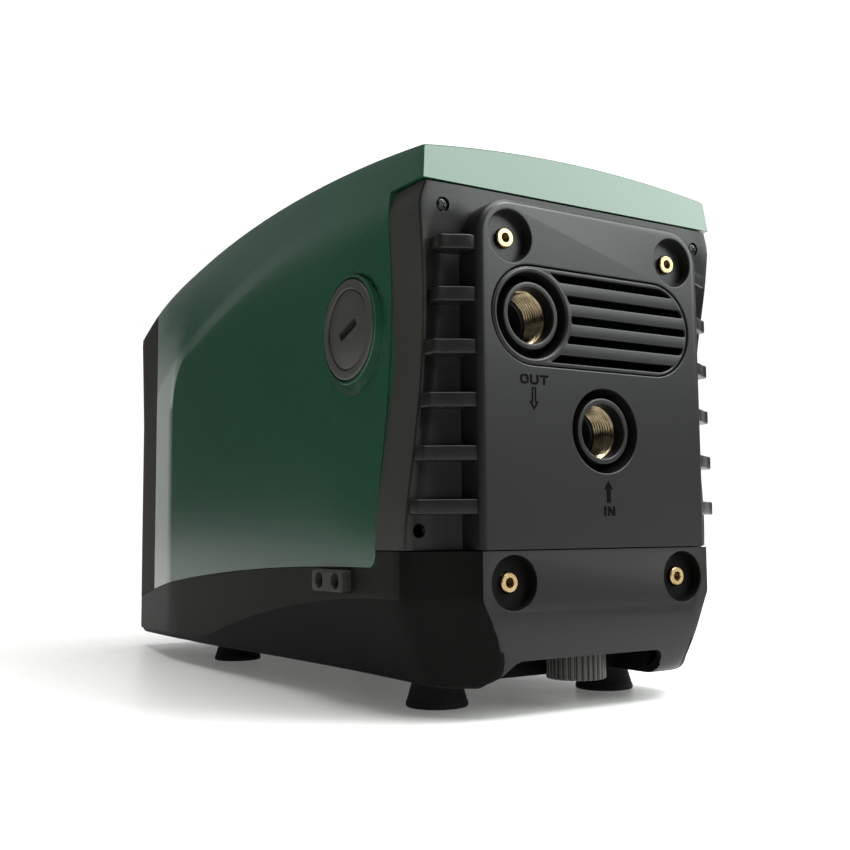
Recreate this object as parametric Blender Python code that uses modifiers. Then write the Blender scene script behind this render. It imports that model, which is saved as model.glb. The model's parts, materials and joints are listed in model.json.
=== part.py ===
"""A compact all-in-one water pressure booster pump, modelled as the pieces it comes apart into.

Sizes are in millimetres, and MM turns them into Blender's metres.
X runs across the body, Y from the control end (-Y) to the port end (+Y), and Z is up.
The origin is on the floor, under the middle of the body.
"""

import math

import bmesh
import bpy
from mathutils import Matrix, Vector

MM = 0.001

# Driving dimensions of the casing
REAR_Y = 282.5
FRONT_Y = -282.5
FRAME_Y = 267.5
HALF_WIDTH = 119.2
COVER_FRONT_Y = -214.4
STRIP_WIDTH = 34.3
BAND_Z = 312.4
SEAM_Z = 96.7
WALL = 3.5
REVEAL = 0.4

# Roof edge and creases of the side, as functions of Y
EDGE_TOP_Z, EDGE_TOP_Y, EDGE_FALL = 343.8, 85.0, 3.25e-4
CREASE_TOP_Z, CREASE_TOP_Y, CREASE_FALL, CREASE_EASE = 317.5, 165.0, 7.39e-4, 4.94e-7
SILL_TOP_Z, SILL_TOP_Y, SILL_FALL = 86.6, 210.0, 1.62e-4
CROWN = 7.6
PANEL_FRONT_Y = -142.8
PANEL_RADIUS = 45.0
PANEL_BORDER = 13.5
SIDE_SLOPE = 0.14
FRONT_TAPER, ROOF_PINCH = 0.122, 4.2

# Feet and base
BASE_BOTTOM_Z = 17.3
FRONT_DIP, DIP_START_Y = 0.0377, -134.0
ROLL_DEPTH, ROLL_HEIGHT = 20.5, 38.0
FOOT_X, FOOT_REAR_Y, FOOT_FRONT_Y = 68.6, 203.0, -112.8
FOOT_TOP_R, FOOT_BOTTOM_R, FOOT_TOP_Z = 15.5, 19.5, 17.0
NOTCH_TOP_Z = 33.5
# How far the base is cut back from the flank, as (y, distance) round its rear corner
CORNER_PLAN = [(236, 0), (246, 1.2), (252, 5), (260, 14.5), (268, 24), (275, 29.8), (280, 32.3), (281.8, 32.7)]
CORNER_PLAN += [(REAR_Y, 32.8)]

# Port end
PLATE_HALF_WIDTH, PLATE_TOP_Z, PLATE_RADIUS = 88.2, 303.1, 24.0
PORT_RIM_R, COLLAR_R, COLLAR_BORE_R = 26.0, 20.4, 16.2
THREAD_MINOR_R = 15.15
INLET_X, INLET_Z = -4.9, 168.3
OUTLET_X, OUTLET_Z = 49.6, 235.0
COLLAR_FACE_Y = 276.0
GRILLE_END_X, GRILLE_R = -47.9, 30.0
SLOT_HALF_HEIGHT, SLOT_PITCH = 2.4, 11.2
INSERT_R, INSERT_BORE_R, INSERT_RECESS_R, INSERT_FACE_Y = 5.8, 2.45, 15.8, 278.0
INSERT_PLACES = {
    "wall_insert_upper_left": (65.6, 280.7),
    "wall_insert_upper_right": (-65.6, 280.7),
    "wall_insert_lower_left": (66.4, 78.2),
    "wall_insert_lower_right": (-66.4, 78.2),
}
SCREW_X, SCREW_Z = 102.2, 298.3
LOW_HOLE_X, LOW_HOLE_Z, LOW_HOLE_R = 111.0, 108.3, 4.2
FIN_TOPS = [279.4, 248.8, 218.2, 187.4, 156.8, 126.2]
FIN_ENDS = [(107.0, 271.3), (108.3, 269.7), (110.5, 268.2), (112.6, 266.2), (115.6, 264.4), (118.6, 261.9)]
FIN_THICKNESS = 8.7

# Fill cap, drain plug
FILL_Y, FILL_Z, FILL_FLANGE_R, FILL_FACE_X = 181.5, 235.9, 32.3, 120.3
FILL_SLOT_TILT = 20.0
DRAIN_X, DRAIN_Y, DRAIN_R, DRAIN_BOTTOM_Z = -2.0, 253.0, 18.5, 17.0

# Motor and pump axis
AXIS_X, AXIS_Z = -5.0, 132.0
SHAFT_R = 9.5
STAGE_START_Y, STAGE_PITCH = 96.0, 42.0

# Control end
DOOR_HALF_WIDTH, DOOR_LOW_Z, DOOR_HIGH_Z = 70.0, 70.0, 170.0
DOOR_PIN_R = 0.9
PANEL_HALF_WIDTH, PANEL_LOW_Z, PANEL_HIGH_Z = 60.0, 190.0, 284.0
WINDOW_HALF_WIDTH, WINDOW_LOW_Z, WINDOW_HIGH_Z = 37.0, 232.0, 276.0
KEY_NAMES = ["key_down", "key_up", "key_menu", "key_set"]
KEY_PITCH, KEY_Z, KEY_R = 26.0, 210.0, 6.0

# Pieces whose long chain of cuts leaves slivers with the exact solver
LONG_CHAINS = {"front_panel", "rear_panel", "top_cover"}

# Colour, roughness and metallic value of each finish
FINISHES = {
    "green_plastic": ((0.022, 0.085, 0.045), 0.32, 0.0),
    "black_plastic": ((0.018, 0.018, 0.019), 0.42, 0.0),
    "grey_plastic": ((0.16, 0.17, 0.17), 0.5, 0.0),
    "rubber": ((0.012, 0.012, 0.012), 0.85, 0.0),
    "brass": ((0.72, 0.50, 0.20), 0.28, 1.0),
    "nickel": ((0.62, 0.58, 0.50), 0.25, 1.0),
    "steel": ((0.48, 0.48, 0.47), 0.35, 1.0),
    "dark_steel": ((0.05, 0.05, 0.055), 0.4, 1.0),
    "aluminium": ((0.62, 0.63, 0.64), 0.4, 1.0),
    "copper": ((0.65, 0.26, 0.12), 0.35, 1.0),
    "glass": ((0.02, 0.03, 0.03), 0.08, 0.0),
    "board": ((0.02, 0.16, 0.07), 0.5, 0.0),
}


# ---------------------------------------------------------------- scene helpers


def clear_scene():
    for item in list(bpy.data.objects):
        bpy.data.objects.remove(item, do_unlink=True)


def make_collection(name):
    collection = bpy.data.collections.new(name)
    bpy.context.scene.collection.children.link(collection)
    return collection


def make_material(name):
    color, roughness, metallic = FINISHES[name]
    material = bpy.data.materials.new(name)
    material.use_nodes = True
    shader = material.node_tree.nodes["Principled BSDF"]
    shader.inputs["Base Color"].default_value = (*color, 1.0)
    shader.inputs["Roughness"].default_value = roughness
    shader.inputs["Metallic"].default_value = metallic
    return material


clear_scene()
PARTS = make_collection("pressure_booster_pump")
CUTTERS = make_collection("cutters")
MATERIALS = {name: make_material(name) for name in FINISHES}


def register(name, mesh, finish, matrix=None):
    """Link a mesh as a named sub-part, or as a hidden cutter when it has no finish."""
    piece = bpy.data.objects.new(name, mesh)
    if finish:
        PARTS.objects.link(piece)
        mesh.materials.append(MATERIALS[finish])
    else:
        CUTTERS.objects.link(piece)
        piece.hide_render = True
        piece.display_type = "WIRE"
    if matrix:
        piece.matrix_world = matrix
    return piece


def axis_matrix(axis, origin=(0, 0, 0)):
    """Stand local Z along X, Y or Z, with the origin given in millimetres."""
    turns = {
        "X": Matrix.Rotation(math.radians(90), 4, "Y"),
        "Y": Matrix.Rotation(math.radians(-90), 4, "X"),
        "Z": Matrix.Identity(4),
    }
    return Matrix.Translation(Vector(origin) * MM) @ turns[axis]


def combine(target, tool, operation="DIFFERENCE"):
    modifier = target.modifiers.new(tool.name, "BOOLEAN")
    modifier.object = tool
    modifier.operation = operation
    modifier.solver = "MANIFOLD" if target.name in LONG_CHAINS else "EXACT"


def cut(target, *tools):
    for tool in tools:
        combine(target, tool)


def join(target, *tools):
    for tool in tools:
        combine(target, tool, "UNION")


# ---------------------------------------------------------------- basic solids


def box(name, low, high, finish=None):
    form = bmesh.new()
    bmesh.ops.create_cube(form, size=1.0)
    low, high = Vector(low) * MM, Vector(high) * MM
    for vertex in form.verts:
        vertex.co = Vector(a + (t + 0.5) * (b - a) for a, b, t in zip(low, high, vertex.co))
    mesh = bpy.data.meshes.new(name)
    form.to_mesh(mesh)
    form.free()
    return register(name, mesh, finish)


def turned(name, profile, axis, origin, finish=None, steps=20, closed=True):
    """Turn (radius, height) points; the outer side runs from top to bottom."""
    mesh = bpy.data.meshes.new(name)
    points = [(radius * MM, 0.0, height * MM) for radius, height in profile]
    count = len(points)
    edges = [(i, (i + 1) % count) for i in range(count if closed else count - 1)]
    mesh.from_pydata(points, edges, [])
    piece = register(name, mesh, finish, axis_matrix(axis, origin))
    screw = piece.modifiers.new("turn", "SCREW")
    screw.steps = screw.render_steps = steps
    screw.use_merge_vertices = True
    screw.merge_threshold = 0.00005
    screw.use_smooth_shade = False
    return piece


def ring(name, outer, inner, low, high, axis, origin, finish=None, steps=20):
    profile = [(outer, high), (outer, low), (inner, low), (inner, high)]
    return turned(name, profile, axis, origin, finish, steps)


def disc(name, radius, low, high, axis, origin, finish=None, steps=20):
    profile = [(0, high), (radius, high), (radius, low), (0, low)]
    return turned(name, profile, axis, origin, finish, steps, closed=False)


def flat(name, outlines, low, high, plane, finish=None):
    """Extrude flat outlines between two offsets along the axis square to their plane."""
    planes = {
        "XY": (Vector((1, 0, 0)), Vector((0, 1, 0))),
        "YZ": (Vector((0, 1, 0)), Vector((0, 0, 1))),
        "ZX": (Vector((0, 0, 1)), Vector((1, 0, 0))),
    }
    across, along = planes[plane]
    normal = across.cross(along)
    curve = bpy.data.curves.new(name, "CURVE")
    curve.dimensions = "2D"
    curve.fill_mode = "BOTH"
    curve.extrude = (high - low) / 2 * MM
    for outline in outlines:
        spline = curve.splines.new("POLY")
        spline.points.add(len(outline) - 1)
        for point, (u, v) in zip(spline.points, outline):
            point.co = (u * MM, v * MM, 0.0, 1.0)
        spline.use_cyclic_u = True
    drawing = bpy.data.objects.new(name + "_drawing", curve)
    CUTTERS.objects.link(drawing)
    rotation = Matrix((across, along, normal)).transposed().to_4x4()
    drawing.matrix_world = Matrix.Translation(normal * (low + high) / 2 * MM) @ rotation
    bpy.context.view_layer.update()
    graph = bpy.context.evaluated_depsgraph_get()
    mesh = bpy.data.meshes.new_from_object(drawing.evaluated_get(graph))
    form = bmesh.new()
    form.from_mesh(mesh)
    bmesh.ops.remove_doubles(form, verts=form.verts, dist=1e-6)
    bmesh.ops.recalc_face_normals(form, faces=form.faces)
    form.to_mesh(mesh)
    form.free()
    mesh.materials.clear()
    mesh.name = name
    matrix = drawing.matrix_world.copy()
    bpy.data.objects.remove(drawing, do_unlink=True)
    return register(name, mesh, finish, matrix)


def loft(name, rings, finish=None):
    """Join rings with equal numbers of points into a solid with closed ends."""
    form = bmesh.new()
    rows = [[form.verts.new(Vector(point) * MM) for point in points] for points in rings]
    count = len(rows[0])
    for row, following in zip(rows, rows[1:]):
        for i in range(count):
            k = (i + 1) % count
            form.faces.new((row[i], row[k], following[k], following[i]))
    form.faces.new(rows[0])
    form.faces.new(rows[-1])
    bmesh.ops.recalc_face_normals(form, faces=form.faces)
    mesh = bpy.data.meshes.new(name)
    form.to_mesh(mesh)
    form.free()
    return register(name, mesh, finish)


def arc(center, radius, start, end, count):
    """Points on an arc in degrees, both ends included."""
    angles = [math.radians(start + (end - start) * i / count) for i in range(count + 1)]
    return [(center[0] + radius * math.cos(a), center[1] + radius * math.sin(a)) for a in angles]


def rounded_rectangle(low, high, radii, count=4):
    """Outline with one radius for each corner: low-low, high-low, high-high, low-high."""
    centers = [
        (low[0] + radii[0], low[1] + radii[0]),
        (high[0] - radii[1], low[1] + radii[1]),
        (high[0] - radii[2], high[1] - radii[2]),
        (low[0] + radii[3], high[1] - radii[3]),
    ]
    outline = []
    for i, (center, radius) in enumerate(zip(centers, radii)):
        steps = count if radius else 0
        start = 180 + 90 * i
        outline += arc(center, radius, start, start + 90, steps) if steps else [center]
    return outline


# ---------------------------------------------------------------- shape of the body


def smooth(value):
    value = min(1.0, max(0.0, value))
    return value * value * (3 - 2 * value)


def roof_edge_z(y):
    return EDGE_TOP_Z - EDGE_FALL * (y - EDGE_TOP_Y) ** 2


def roof_edge_x(y):
    """Half width of the roof where it meets the band below it, tapering to the control end."""
    pinch = ROOF_PINCH * smooth((y + 230) / 150)
    return HALF_WIDTH - pinch - FRONT_TAPER * max(0.0, PANEL_FRONT_Y - y)


def crease_z(y):
    distance = CREASE_TOP_Y - y
    return CREASE_TOP_Z - CREASE_FALL * distance**2 + CREASE_EASE * distance**3


def sill_z(y):
    """Height of the line between the green cover and the base."""
    return SILL_TOP_Z - SILL_FALL * (y - SILL_TOP_Y) ** 2


def side_x(y, z):
    """Half width of the flank: a waist and a flared foot towards the port end."""
    rear = smooth((y - 130) / 132)
    waist = 7.0 * math.cos(math.radians(90 * min(1, abs(z - 215) / 105))) ** 2
    flare = 2.0 * (1 - smooth((z - SEAM_Z) / 60))
    return HALF_WIDTH + rear * (flare - waist)


def corner_y(z):
    """Where the flank ends at the port end; the corner leans forward towards the floor."""
    return 251.8 + 0.05 * (z - 100) + 4.2 * smooth((z - 205) / 75)


def strip_points(gap):
    """Rear edge of the green cover, from its foot up to the roof band."""
    heights = (105, 150, 205, 245, 280, BAND_Z)
    return [(corner_y(z) - STRIP_WIDTH + gap, z) for z in heights]


def panel_distance(y, z):
    """How far a point of the flank lies outside the flat side panel."""
    center_y = PANEL_FRONT_Y + PANEL_RADIUS
    center_z = crease_z(center_y) - PANEL_BORDER - PANEL_RADIUS
    if y >= center_y:
        return max(0.0, z - crease_z(y) + PANEL_BORDER)
    if z <= center_z:
        return max(0.0, PANEL_FRONT_Y - y)
    return max(0.0, math.hypot(center_y - y, z - center_z) - PANEL_RADIUS)


def panel_top_z(y):
    center_y = PANEL_FRONT_Y + PANEL_RADIUS
    if y >= center_y:
        return crease_z(y) - PANEL_BORDER
    reach = min(PANEL_RADIUS, center_y - y)
    center_z = crease_z(center_y) - PANEL_BORDER - PANEL_RADIUS
    return min(center_z + math.sqrt(PANEL_RADIUS**2 - reach**2), crease_z(y) - PANEL_BORDER / 2)


def skin_x(y, z):
    """Half width of the finished flank, with its sloped border."""
    return side_x(y, z) - SIDE_SLOPE * panel_distance(y, z)


def upper_ring(y, inset, bottom):
    """One cross section of the upper body, moved inwards by a wall thickness."""
    panel_z, fold_z, edge_z = panel_top_z(y), crease_z(y), roof_edge_z(y)
    half = []
    levels = 4
    for i in range(levels + 1):
        z = bottom + (panel_z - bottom) * i / levels
        half.append((skin_x(y, z) - inset, z))
    edge_x = roof_edge_x(y)
    half.append((skin_x(y, fold_z) - inset, fold_z))
    half.append((edge_x - inset, edge_z - inset))
    for share in (0.7, 0.36):
        half.append(((edge_x - inset) * share, edge_z - inset + CROWN * (1 - share**2)))
    top = [(0.0, edge_z - inset + CROWN)]
    mirrored = [(-x, z) for x, z in reversed(half)]
    return half + top + mirrored


def upper_body(name, inset=0.0, bottom=40.0, finish=None):
    stations = [FRONT_Y, COVER_FRONT_Y, PANEL_FRONT_Y]
    stations += [PANEL_FRONT_Y + PANEL_RADIUS * (1 - math.cos(math.radians(a))) for a in (34, 66)]
    stations += [-60, 10, 80, 140, 185, 228, FRAME_Y]
    rings = []
    for y in stations:
        place = y - inset * y / abs(REAR_Y)
        rings.append([(x, place, z) for x, z in upper_ring(y, inset, bottom - 4 * inset)])
    return loft(name, rings, finish)


def base_width(y, z):
    width = skin_x(y, z)
    for (y0, d0), (y1, d1) in zip(CORNER_PLAN, CORNER_PLAN[1:]):
        if y0 < y <= y1:
            width -= d0 + (d1 - d0) * (y - y0) / (y1 - y0)
    return width


def base_floor_z(y):
    """Underside of the base: it dips towards the front and rolls up into the rear face."""
    dip = FRONT_DIP * max(0.0, DIP_START_Y - y)
    reach = max(0.0, y - REAR_Y + ROLL_DEPTH) / ROLL_DEPTH
    return BASE_BOTTOM_Z - dip + ROLL_HEIGHT * (1 - math.sqrt(1 - reach**2))


def base_ring(y, inset):
    floor = base_floor_z(y)
    fold = max(floor + 6, 69.0 - 4.5e-4 * (y - 250) ** 2)
    fold_x = base_width(y, fold)
    edge_x = base_width(y, floor) - 0.36 * (fold - floor)
    side = [(edge_x - 14, floor), (edge_x - 4, floor + 1), (edge_x, floor + 4.5), (fold_x, fold)]
    half = [(x - inset, z + inset * (1 - (z - floor) / 60)) for x, z in side]
    half += [(base_width(y, 84) - inset, 84.0), (base_width(y, 100) - inset, 100.0 + inset)]
    mirrored = [(-x, z) for x, z in reversed(half)]
    return half + mirrored


def base_body(name, inset=0.0, finish=None):
    stations = [FRONT_Y, PANEL_FRONT_Y, -60, 10, 80, 140, 190]
    stations += [y for y, _ in CORNER_PLAN]
    rings = []
    for y in stations:
        place = y * (REAR_Y - inset) / REAR_Y
        rings.append([(x, place, z) for x, z in base_ring(y, inset)])
    return loft(name, rings, finish)


def sill_points(gap):
    """Points of the sill from the front to its rounded rear corner, moved by a gap."""
    front = [(y, sill_z(y) + gap) for y in (FRONT_Y - 8, -214.4, -140, -60, 20, 110)]
    rear_y, radius = corner_y(95) - STRIP_WIDTH - gap, 8.0 - gap
    return front + arc((rear_y - radius, SILL_TOP_Z + gap + radius), radius, 270, 360, 4)


def shell_piece(name, outline, finish):
    """The part of the upper skin that lies inside a side outline."""
    piece = upper_body(name, finish=finish)
    cut(piece, upper_body(name + "_hollow", WALL, 30.0))
    combine(piece, flat(name + "_outline", [outline], -140, 140, "YZ"), "INTERSECT")
    return piece


# ---------------------------------------------------------------- casing


def make_top_cover():
    sill = [point for point in sill_points(0.0) if point[0] > COVER_FRONT_Y + 1]
    outline = [(COVER_FRONT_Y, sill_z(COVER_FRONT_Y))] + sill
    outline += strip_points(0.0) + [(FRAME_Y + 5, BAND_Z), (FRAME_Y + 5, 365), (COVER_FRONT_Y, 365)]
    cover = shell_piece("top_cover", outline, "green_plastic")
    origin = (0, FILL_Y, FILL_Z)
    cut(cover, disc("fill_opening", 38.5, 100, 130, "X", origin, steps=24))
    dish = [(40.0, 116.6), (40.0, 113.0), (33.0, 108.0), (33.0, 112.0)]
    join(cover, turned("fill_dish", dish, "X", origin, steps=24))


def make_front_panel():
    front = COVER_FRONT_Y - REVEAL
    outline = [(FRONT_Y - 8, sill_z(FRONT_Y - 8)), (front, sill_z(front)), (front, 365), (FRONT_Y - 8, 365)]
    panel = shell_piece("front_panel", outline, "black_plastic")
    back = FRONT_Y + 20
    half = PANEL_HALF_WIDTH + REVEAL
    low = (-half, FRONT_Y - 5, PANEL_LOW_Z - REVEAL)
    cut(panel, box("interface_opening", low, (half, back, PANEL_HIGH_Z + REVEAL)))
    low = (-DOOR_HALF_WIDTH - WALL / 2 - 0.5, FRONT_Y - 5, DOOR_LOW_Z - 0.5)
    cut(panel, box("door_opening", low, (DOOR_HALF_WIDTH + 0.5, back, DOOR_HIGH_Z + 0.5)))
    pin = (-DOOR_HALF_WIDTH, FRONT_Y + WALL / 2, 0)
    cut(panel, disc("door_pin_seat", DOOR_PIN_R + 0.4, 66.2, 173.8, "Z", pin, steps=12))


def make_base_tray():
    tray = base_body("base_tray", finish="black_plastic")
    cut(tray, base_body("base_hollow", 4.0))
    sill = sill_points(-REVEAL)
    outline = sill + [(sill[-1][0], SEAM_Z - 0.2), (REAR_Y + 8, SEAM_Z - 0.2)]
    outline += [(REAR_Y + 8, -8), (FRONT_Y - 8, -8)]
    combine(tray, flat("base_outline", [outline], -140, 140, "YZ"), "INTERSECT")
    join(tray, box("drain_bay", (-55.5, 228, 19), (84, 262, 46)))
    join(tray, box("drain_bay_rear", (-55.5, 260, 31), (65.5, 277, 46)))
    cut(tray, box("drain_pocket", (-52.5, 231.5, 0), (62, 275, 42.5)))
    notch = [(8, -52), (NOTCH_TOP_Z - 2, -50), (NOTCH_TOP_Z, -46), (NOTCH_TOP_Z, 61), (NOTCH_TOP_Z - 2, 65)]
    notch += [(8, 84)]
    cut(tray, flat("rear_notch", [notch], 246, 292, "ZX"))
    cut(tray, disc("drain_hole", 17, 38, 60, "Z", (DRAIN_X, DRAIN_Y, 0), steps=24))
    for name in ("wall_insert_lower_left", "wall_insert_lower_right"):
        add_insert_seat(tray, name, 17.8)
    cut(tray, box("side_socket_opening", (108, 143.9, 70.4), (140, 186.4, 85.1)))
    cut(tray, disc("gland_hole", 10.4, -140, -100, "X", (0, 150, 52), steps=12))


def add_insert_seat(target, name, boss_radius):
    x, z = INSERT_PLACES[name]
    origin = (x, 0, z)
    join(target, disc(name + "_boss", boss_radius, 261, 281.4, "Y", origin, steps=12))
    cut(target, disc(name + "_recess", INSERT_RECESS_R, 275, 290, "Y", origin, steps=16))
    cut(target, disc(name + "_bore", INSERT_R + 0.5, 250, 276, "Y", origin, steps=10))


def frame_ring(z, inset):
    """Plan outline of the rear frame at one height: flanks, corners and the valley beside the plate."""
    top = smooth((z - 262) / 36)
    edge_x, edge_y = skin_x(262, z), corner_y(z)
    valley_y = 262.0 + 5.3 * top
    half = [
        (edge_x - inset, edge_y - STRIP_WIDTH + REVEAL - 4 * inset),
        (edge_x - inset, edge_y - 2.5 - inset),
        (edge_x - 2.0 - inset, edge_y - 0.4 - inset),
        (PLATE_HALF_WIDTH - inset, valley_y - inset),
    ]
    mirrored = [(-x, y) for x, y in reversed(half)]
    return [(x, y, z) for x, y in half + mirrored]


def make_rear_panel():
    levels = [SEAM_Z + REVEAL, 110, 123, 150, 195, 240, 262, 280, 298, BAND_Z - REVEAL]
    panel = loft("rear_panel", [frame_ring(z, 0.0) for z in levels], "black_plastic")
    levels[0] -= 20
    levels[-1] += 20
    cut(panel, loft("rear_panel_hollow", [frame_ring(z, WALL) for z in levels]))
    low = (SEAM_Z + REVEAL, -PLATE_HALF_WIDTH)
    high = (PLATE_TOP_Z, PLATE_HALF_WIDTH)
    plate = rounded_rectangle(low, high, (0, PLATE_RADIUS, PLATE_RADIUS, 0))
    join(panel, flat("rear_plate", [plate], 256, REAR_Y, "ZX"))
    for index, (top, end) in enumerate(zip(FIN_TOPS, FIN_ENDS)):
        for side in (1, -1):
            end_x, end_y = end
            plan = [(80, 255), (80, 278), (PLATE_HALF_WIDTH + 4, 278), (PLATE_HALF_WIDTH + 7, 273.5)]
            plan += [(end_x - 1.2, end_y), (end_x, end_y - 1.5), (end_x, 252)]
            plan = [(side * x, y) for x, y in plan]
            fin = flat(f"fin_{index}_{side}", [plan], top - FIN_THICKNESS, top, "XY")
            join(panel, fin)
    pocket = rounded_rectangle((80, -84.5), (PLATE_TOP_Z - 3.5, 84.5), (0, 20, 20, 0))
    cut(panel, flat("plate_pocket", [pocket], 200, REAR_Y - WALL, "ZX"))
    inlet = (INLET_X, 0, INLET_Z)
    join(panel, ring("inlet_skirt", PORT_RIM_R + 3, PORT_RIM_R - 4, 262, 281, "Y", inlet, steps=24))
    cut(panel, disc("inlet_opening", PORT_RIM_R, 240, 300, "Y", inlet, steps=24))
    cut(panel, flat("grille_opening", [racetrack(GRILLE_R)], 240, 300, "ZX"))
    for name in ("wall_insert_upper_left", "wall_insert_upper_right"):
        add_insert_seat(panel, name, 17.8)
    for side in (1, -1):
        origin = (side * SCREW_X, 0, SCREW_Z)
        join(panel, disc(f"screw_boss_{side}", 6, 250, 264, "Y", origin, steps=8))
        cut(panel, disc(f"screw_recess_{side}", 4.4, 264.4, 290, "Y", origin, steps=12))
        cut(panel, disc(f"screw_bore_{side}", 2.1, 240, 265, "Y", origin, steps=8))
        low_hole = (side * LOW_HOLE_X, 0, LOW_HOLE_Z)
        cut(panel, disc(f"low_hole_{side}", LOW_HOLE_R, 250, 290, "Y", low_hole, steps=12))


def racetrack(radius, center_z=OUTLET_Z):
    left = arc((center_z, OUTLET_X), radius, 0, 180, 8)
    right = arc((center_z, GRILLE_END_X), radius, 180, 360, 8)
    return left + right


def slot_outline(index):
    """One ventilation slot, cut back by the round port rim at one end and the round end at the other."""
    offset = index * SLOT_PITCH
    port_clear, end_clear = PORT_RIM_R + 4.0, GRILLE_R - 3.6
    reach = abs(offset) + SLOT_HALF_HEIGHT
    start = OUTLET_X - math.sqrt(max(0.0, port_clear**2 - (abs(offset) - SLOT_HALF_HEIGHT) ** 2))
    end = GRILLE_END_X - math.sqrt(max(0.0, end_clear**2 - reach**2))
    low, high = OUTLET_Z + offset - SLOT_HALF_HEIGHT, OUTLET_Z + offset + SLOT_HALF_HEIGHT
    radii = [SLOT_HALF_HEIGHT - 0.05] * 4
    return rounded_rectangle((low, end), (high, start), radii, count=1)


def make_vent_grille():
    outlines = [racetrack(GRILLE_R - REVEAL)] + [slot_outline(i) for i in range(-2, 3)]
    grille = flat("vent_grille", outlines, REAR_Y - WALL, REAR_Y - 0.2, "ZX", "black_plastic")
    origin = (OUTLET_X, 0, OUTLET_Z)
    join(grille, ring("outlet_skirt", PORT_RIM_R + 2.2, PORT_RIM_R - 3, 264, 281, "Y", origin, steps=24))
    cut(grille, disc("outlet_opening", PORT_RIM_R, 240, 300, "Y", origin, steps=24))


def make_ports():
    ports = {"inlet": (INLET_X, INLET_Z, 206.0), "outlet": (OUTLET_X, OUTLET_Z, 212.5)}
    for name, (x, z, start) in ports.items():
        origin = (x, 0, z)
        inner = THREAD_MINOR_R + 3.85
        profile = [(COLLAR_R, COLLAR_FACE_Y), (COLLAR_R, start), (inner, start)]
        profile += [(inner, COLLAR_FACE_Y - 3.5), (COLLAR_BORE_R, COLLAR_FACE_Y - 3.5)]
        profile += [(COLLAR_BORE_R, COLLAR_FACE_Y)]
        turned(f"{name}_port", profile, "Y", origin, "black_plastic", steps=24)
        thread = (inner - 0.35, THREAD_MINOR_R, 232, COLLAR_FACE_Y - 3.8)
        ring(f"{name}_thread", *thread, "Y", origin, "nickel", steps=24)


def make_fixings():
    for name, (x, z) in INSERT_PLACES.items():
        ring(name, INSERT_R, INSERT_BORE_R, 263, INSERT_FACE_Y, "Y", (x, 0, z), "brass", steps=10)
    for name, side in (("panel_screw_left", 1), ("panel_screw_right", -1)):
        profile = [(0, 266.4), (3.5, 266.4), (3.5, 264.8), (1.7, 264.8), (1.7, 252), (0, 252)]
        origin = (side * SCREW_X, 0, SCREW_Z)
        turned(name, profile, "Y", origin, "dark_steel", steps=10, closed=False)


def make_feet():
    places = {
        "foot_rear_left": (FOOT_X, FOOT_REAR_Y),
        "foot_rear_right": (-FOOT_X, FOOT_REAR_Y),
        "foot_front_left": (FOOT_X, FOOT_FRONT_Y),
        "foot_front_right": (-FOOT_X, FOOT_FRONT_Y),
    }
    for name, (x, y) in places.items():
        profile = [(0, FOOT_TOP_Z), (FOOT_TOP_R, FOOT_TOP_Z), (FOOT_TOP_R, FOOT_TOP_Z - 2), (FOOT_BOTTOM_R, 3)]
        profile += [(FOOT_BOTTOM_R, 0), (0, 0)]
        turned(name, profile, "Z", (x, y, 0), "rubber", steps=16, closed=False)


def make_side_fittings():
    socket = box("side_socket", (115.6, 144.3, 70.8), (126.2, 186.0, 84.7), "black_plastic")
    for index, y in enumerate((154.4, 175.9)):
        cut(socket, disc(f"socket_hole_{index}", 4.8, 119, 130, "X", (0, y, 77.8), steps=20))
    profile = [(9.8, -104), (9.8, -120.6), (13, -120.6), (13, -126.2), (4.5, -126.2), (4.5, -104)]
    turned("cable_gland", profile, "X", (0, 150, 52), "black_plastic", steps=12)


# ---------------------------------------------------------------- moving plugs


def make_fill_cap():
    origin = (0, FILL_Y, FILL_Z)
    face = FILL_FACE_X
    profile = [(0, face - 1), (24.6, face - 1), (26.0, face - 2.4), (27.4, face), (FILL_FLANGE_R - 1, face)]
    profile += [(FILL_FLANGE_R, face - 1.5), (FILL_FLANGE_R, face - 8), (16.4, face - 8), (16.4, 93), (0, 93)]
    cap = turned("fill_cap", profile, "X", origin, "black_plastic", steps=24, closed=False)
    slot = box("fill_slot", (-11.5, -2.6, face - 6), (11.5, 2.6, face + 5))
    tilt = Matrix.Rotation(math.radians(FILL_SLOT_TILT), 4, "X")
    for vertex in slot.data.vertices:
        x, y, z = vertex.co / MM
        vertex.co = tilt @ Vector((z, x, y)) * MM
    slot.location = Vector(origin) * MM
    cut(cap, slot)
    ring("fill_gasket", 22.5, 17.2, face - 11, face - 8.4, "X", origin, "rubber", steps=20)


def make_drain():
    origin = (DRAIN_X, DRAIN_Y, 0)
    bottom = DRAIN_BOTTOM_Z
    profile = [(0, 58), (9.9, 58), (9.9, 40), (DRAIN_R - 1, 40), (DRAIN_R, 39), (DRAIN_R, bottom + 1)]
    profile += [(DRAIN_R - 1, bottom), (0, bottom)]
    turned("drain_plug", profile, "Z", origin, "black_plastic", steps=20, closed=False)
    ring("drain_gasket", 15, 10.5, 40.4, 42.6, "Z", origin, "rubber", steps=24)
    neck = disc("drain_neck", 14.8, 43, 76, "Z", origin, "black_plastic", steps=20)
    join(neck, disc("drain_tube", 8.5, 190.6, 246, "Y", (DRAIN_X, 0, 64), steps=20))
    cut(neck, disc("drain_bore", 10.9, 40, 70, "Z", origin, steps=24))
    cut(neck, disc("drain_tube_bore", 5.5, 180, 250, "Y", (DRAIN_X, 0, 64), steps=16))


# ---------------------------------------------------------------- pump and motor


def on_axis(function, name, *values, finish, steps=20):
    return function(name, *values, "Y", (AXIS_X, 0, AXIS_Z), finish, steps)


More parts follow.
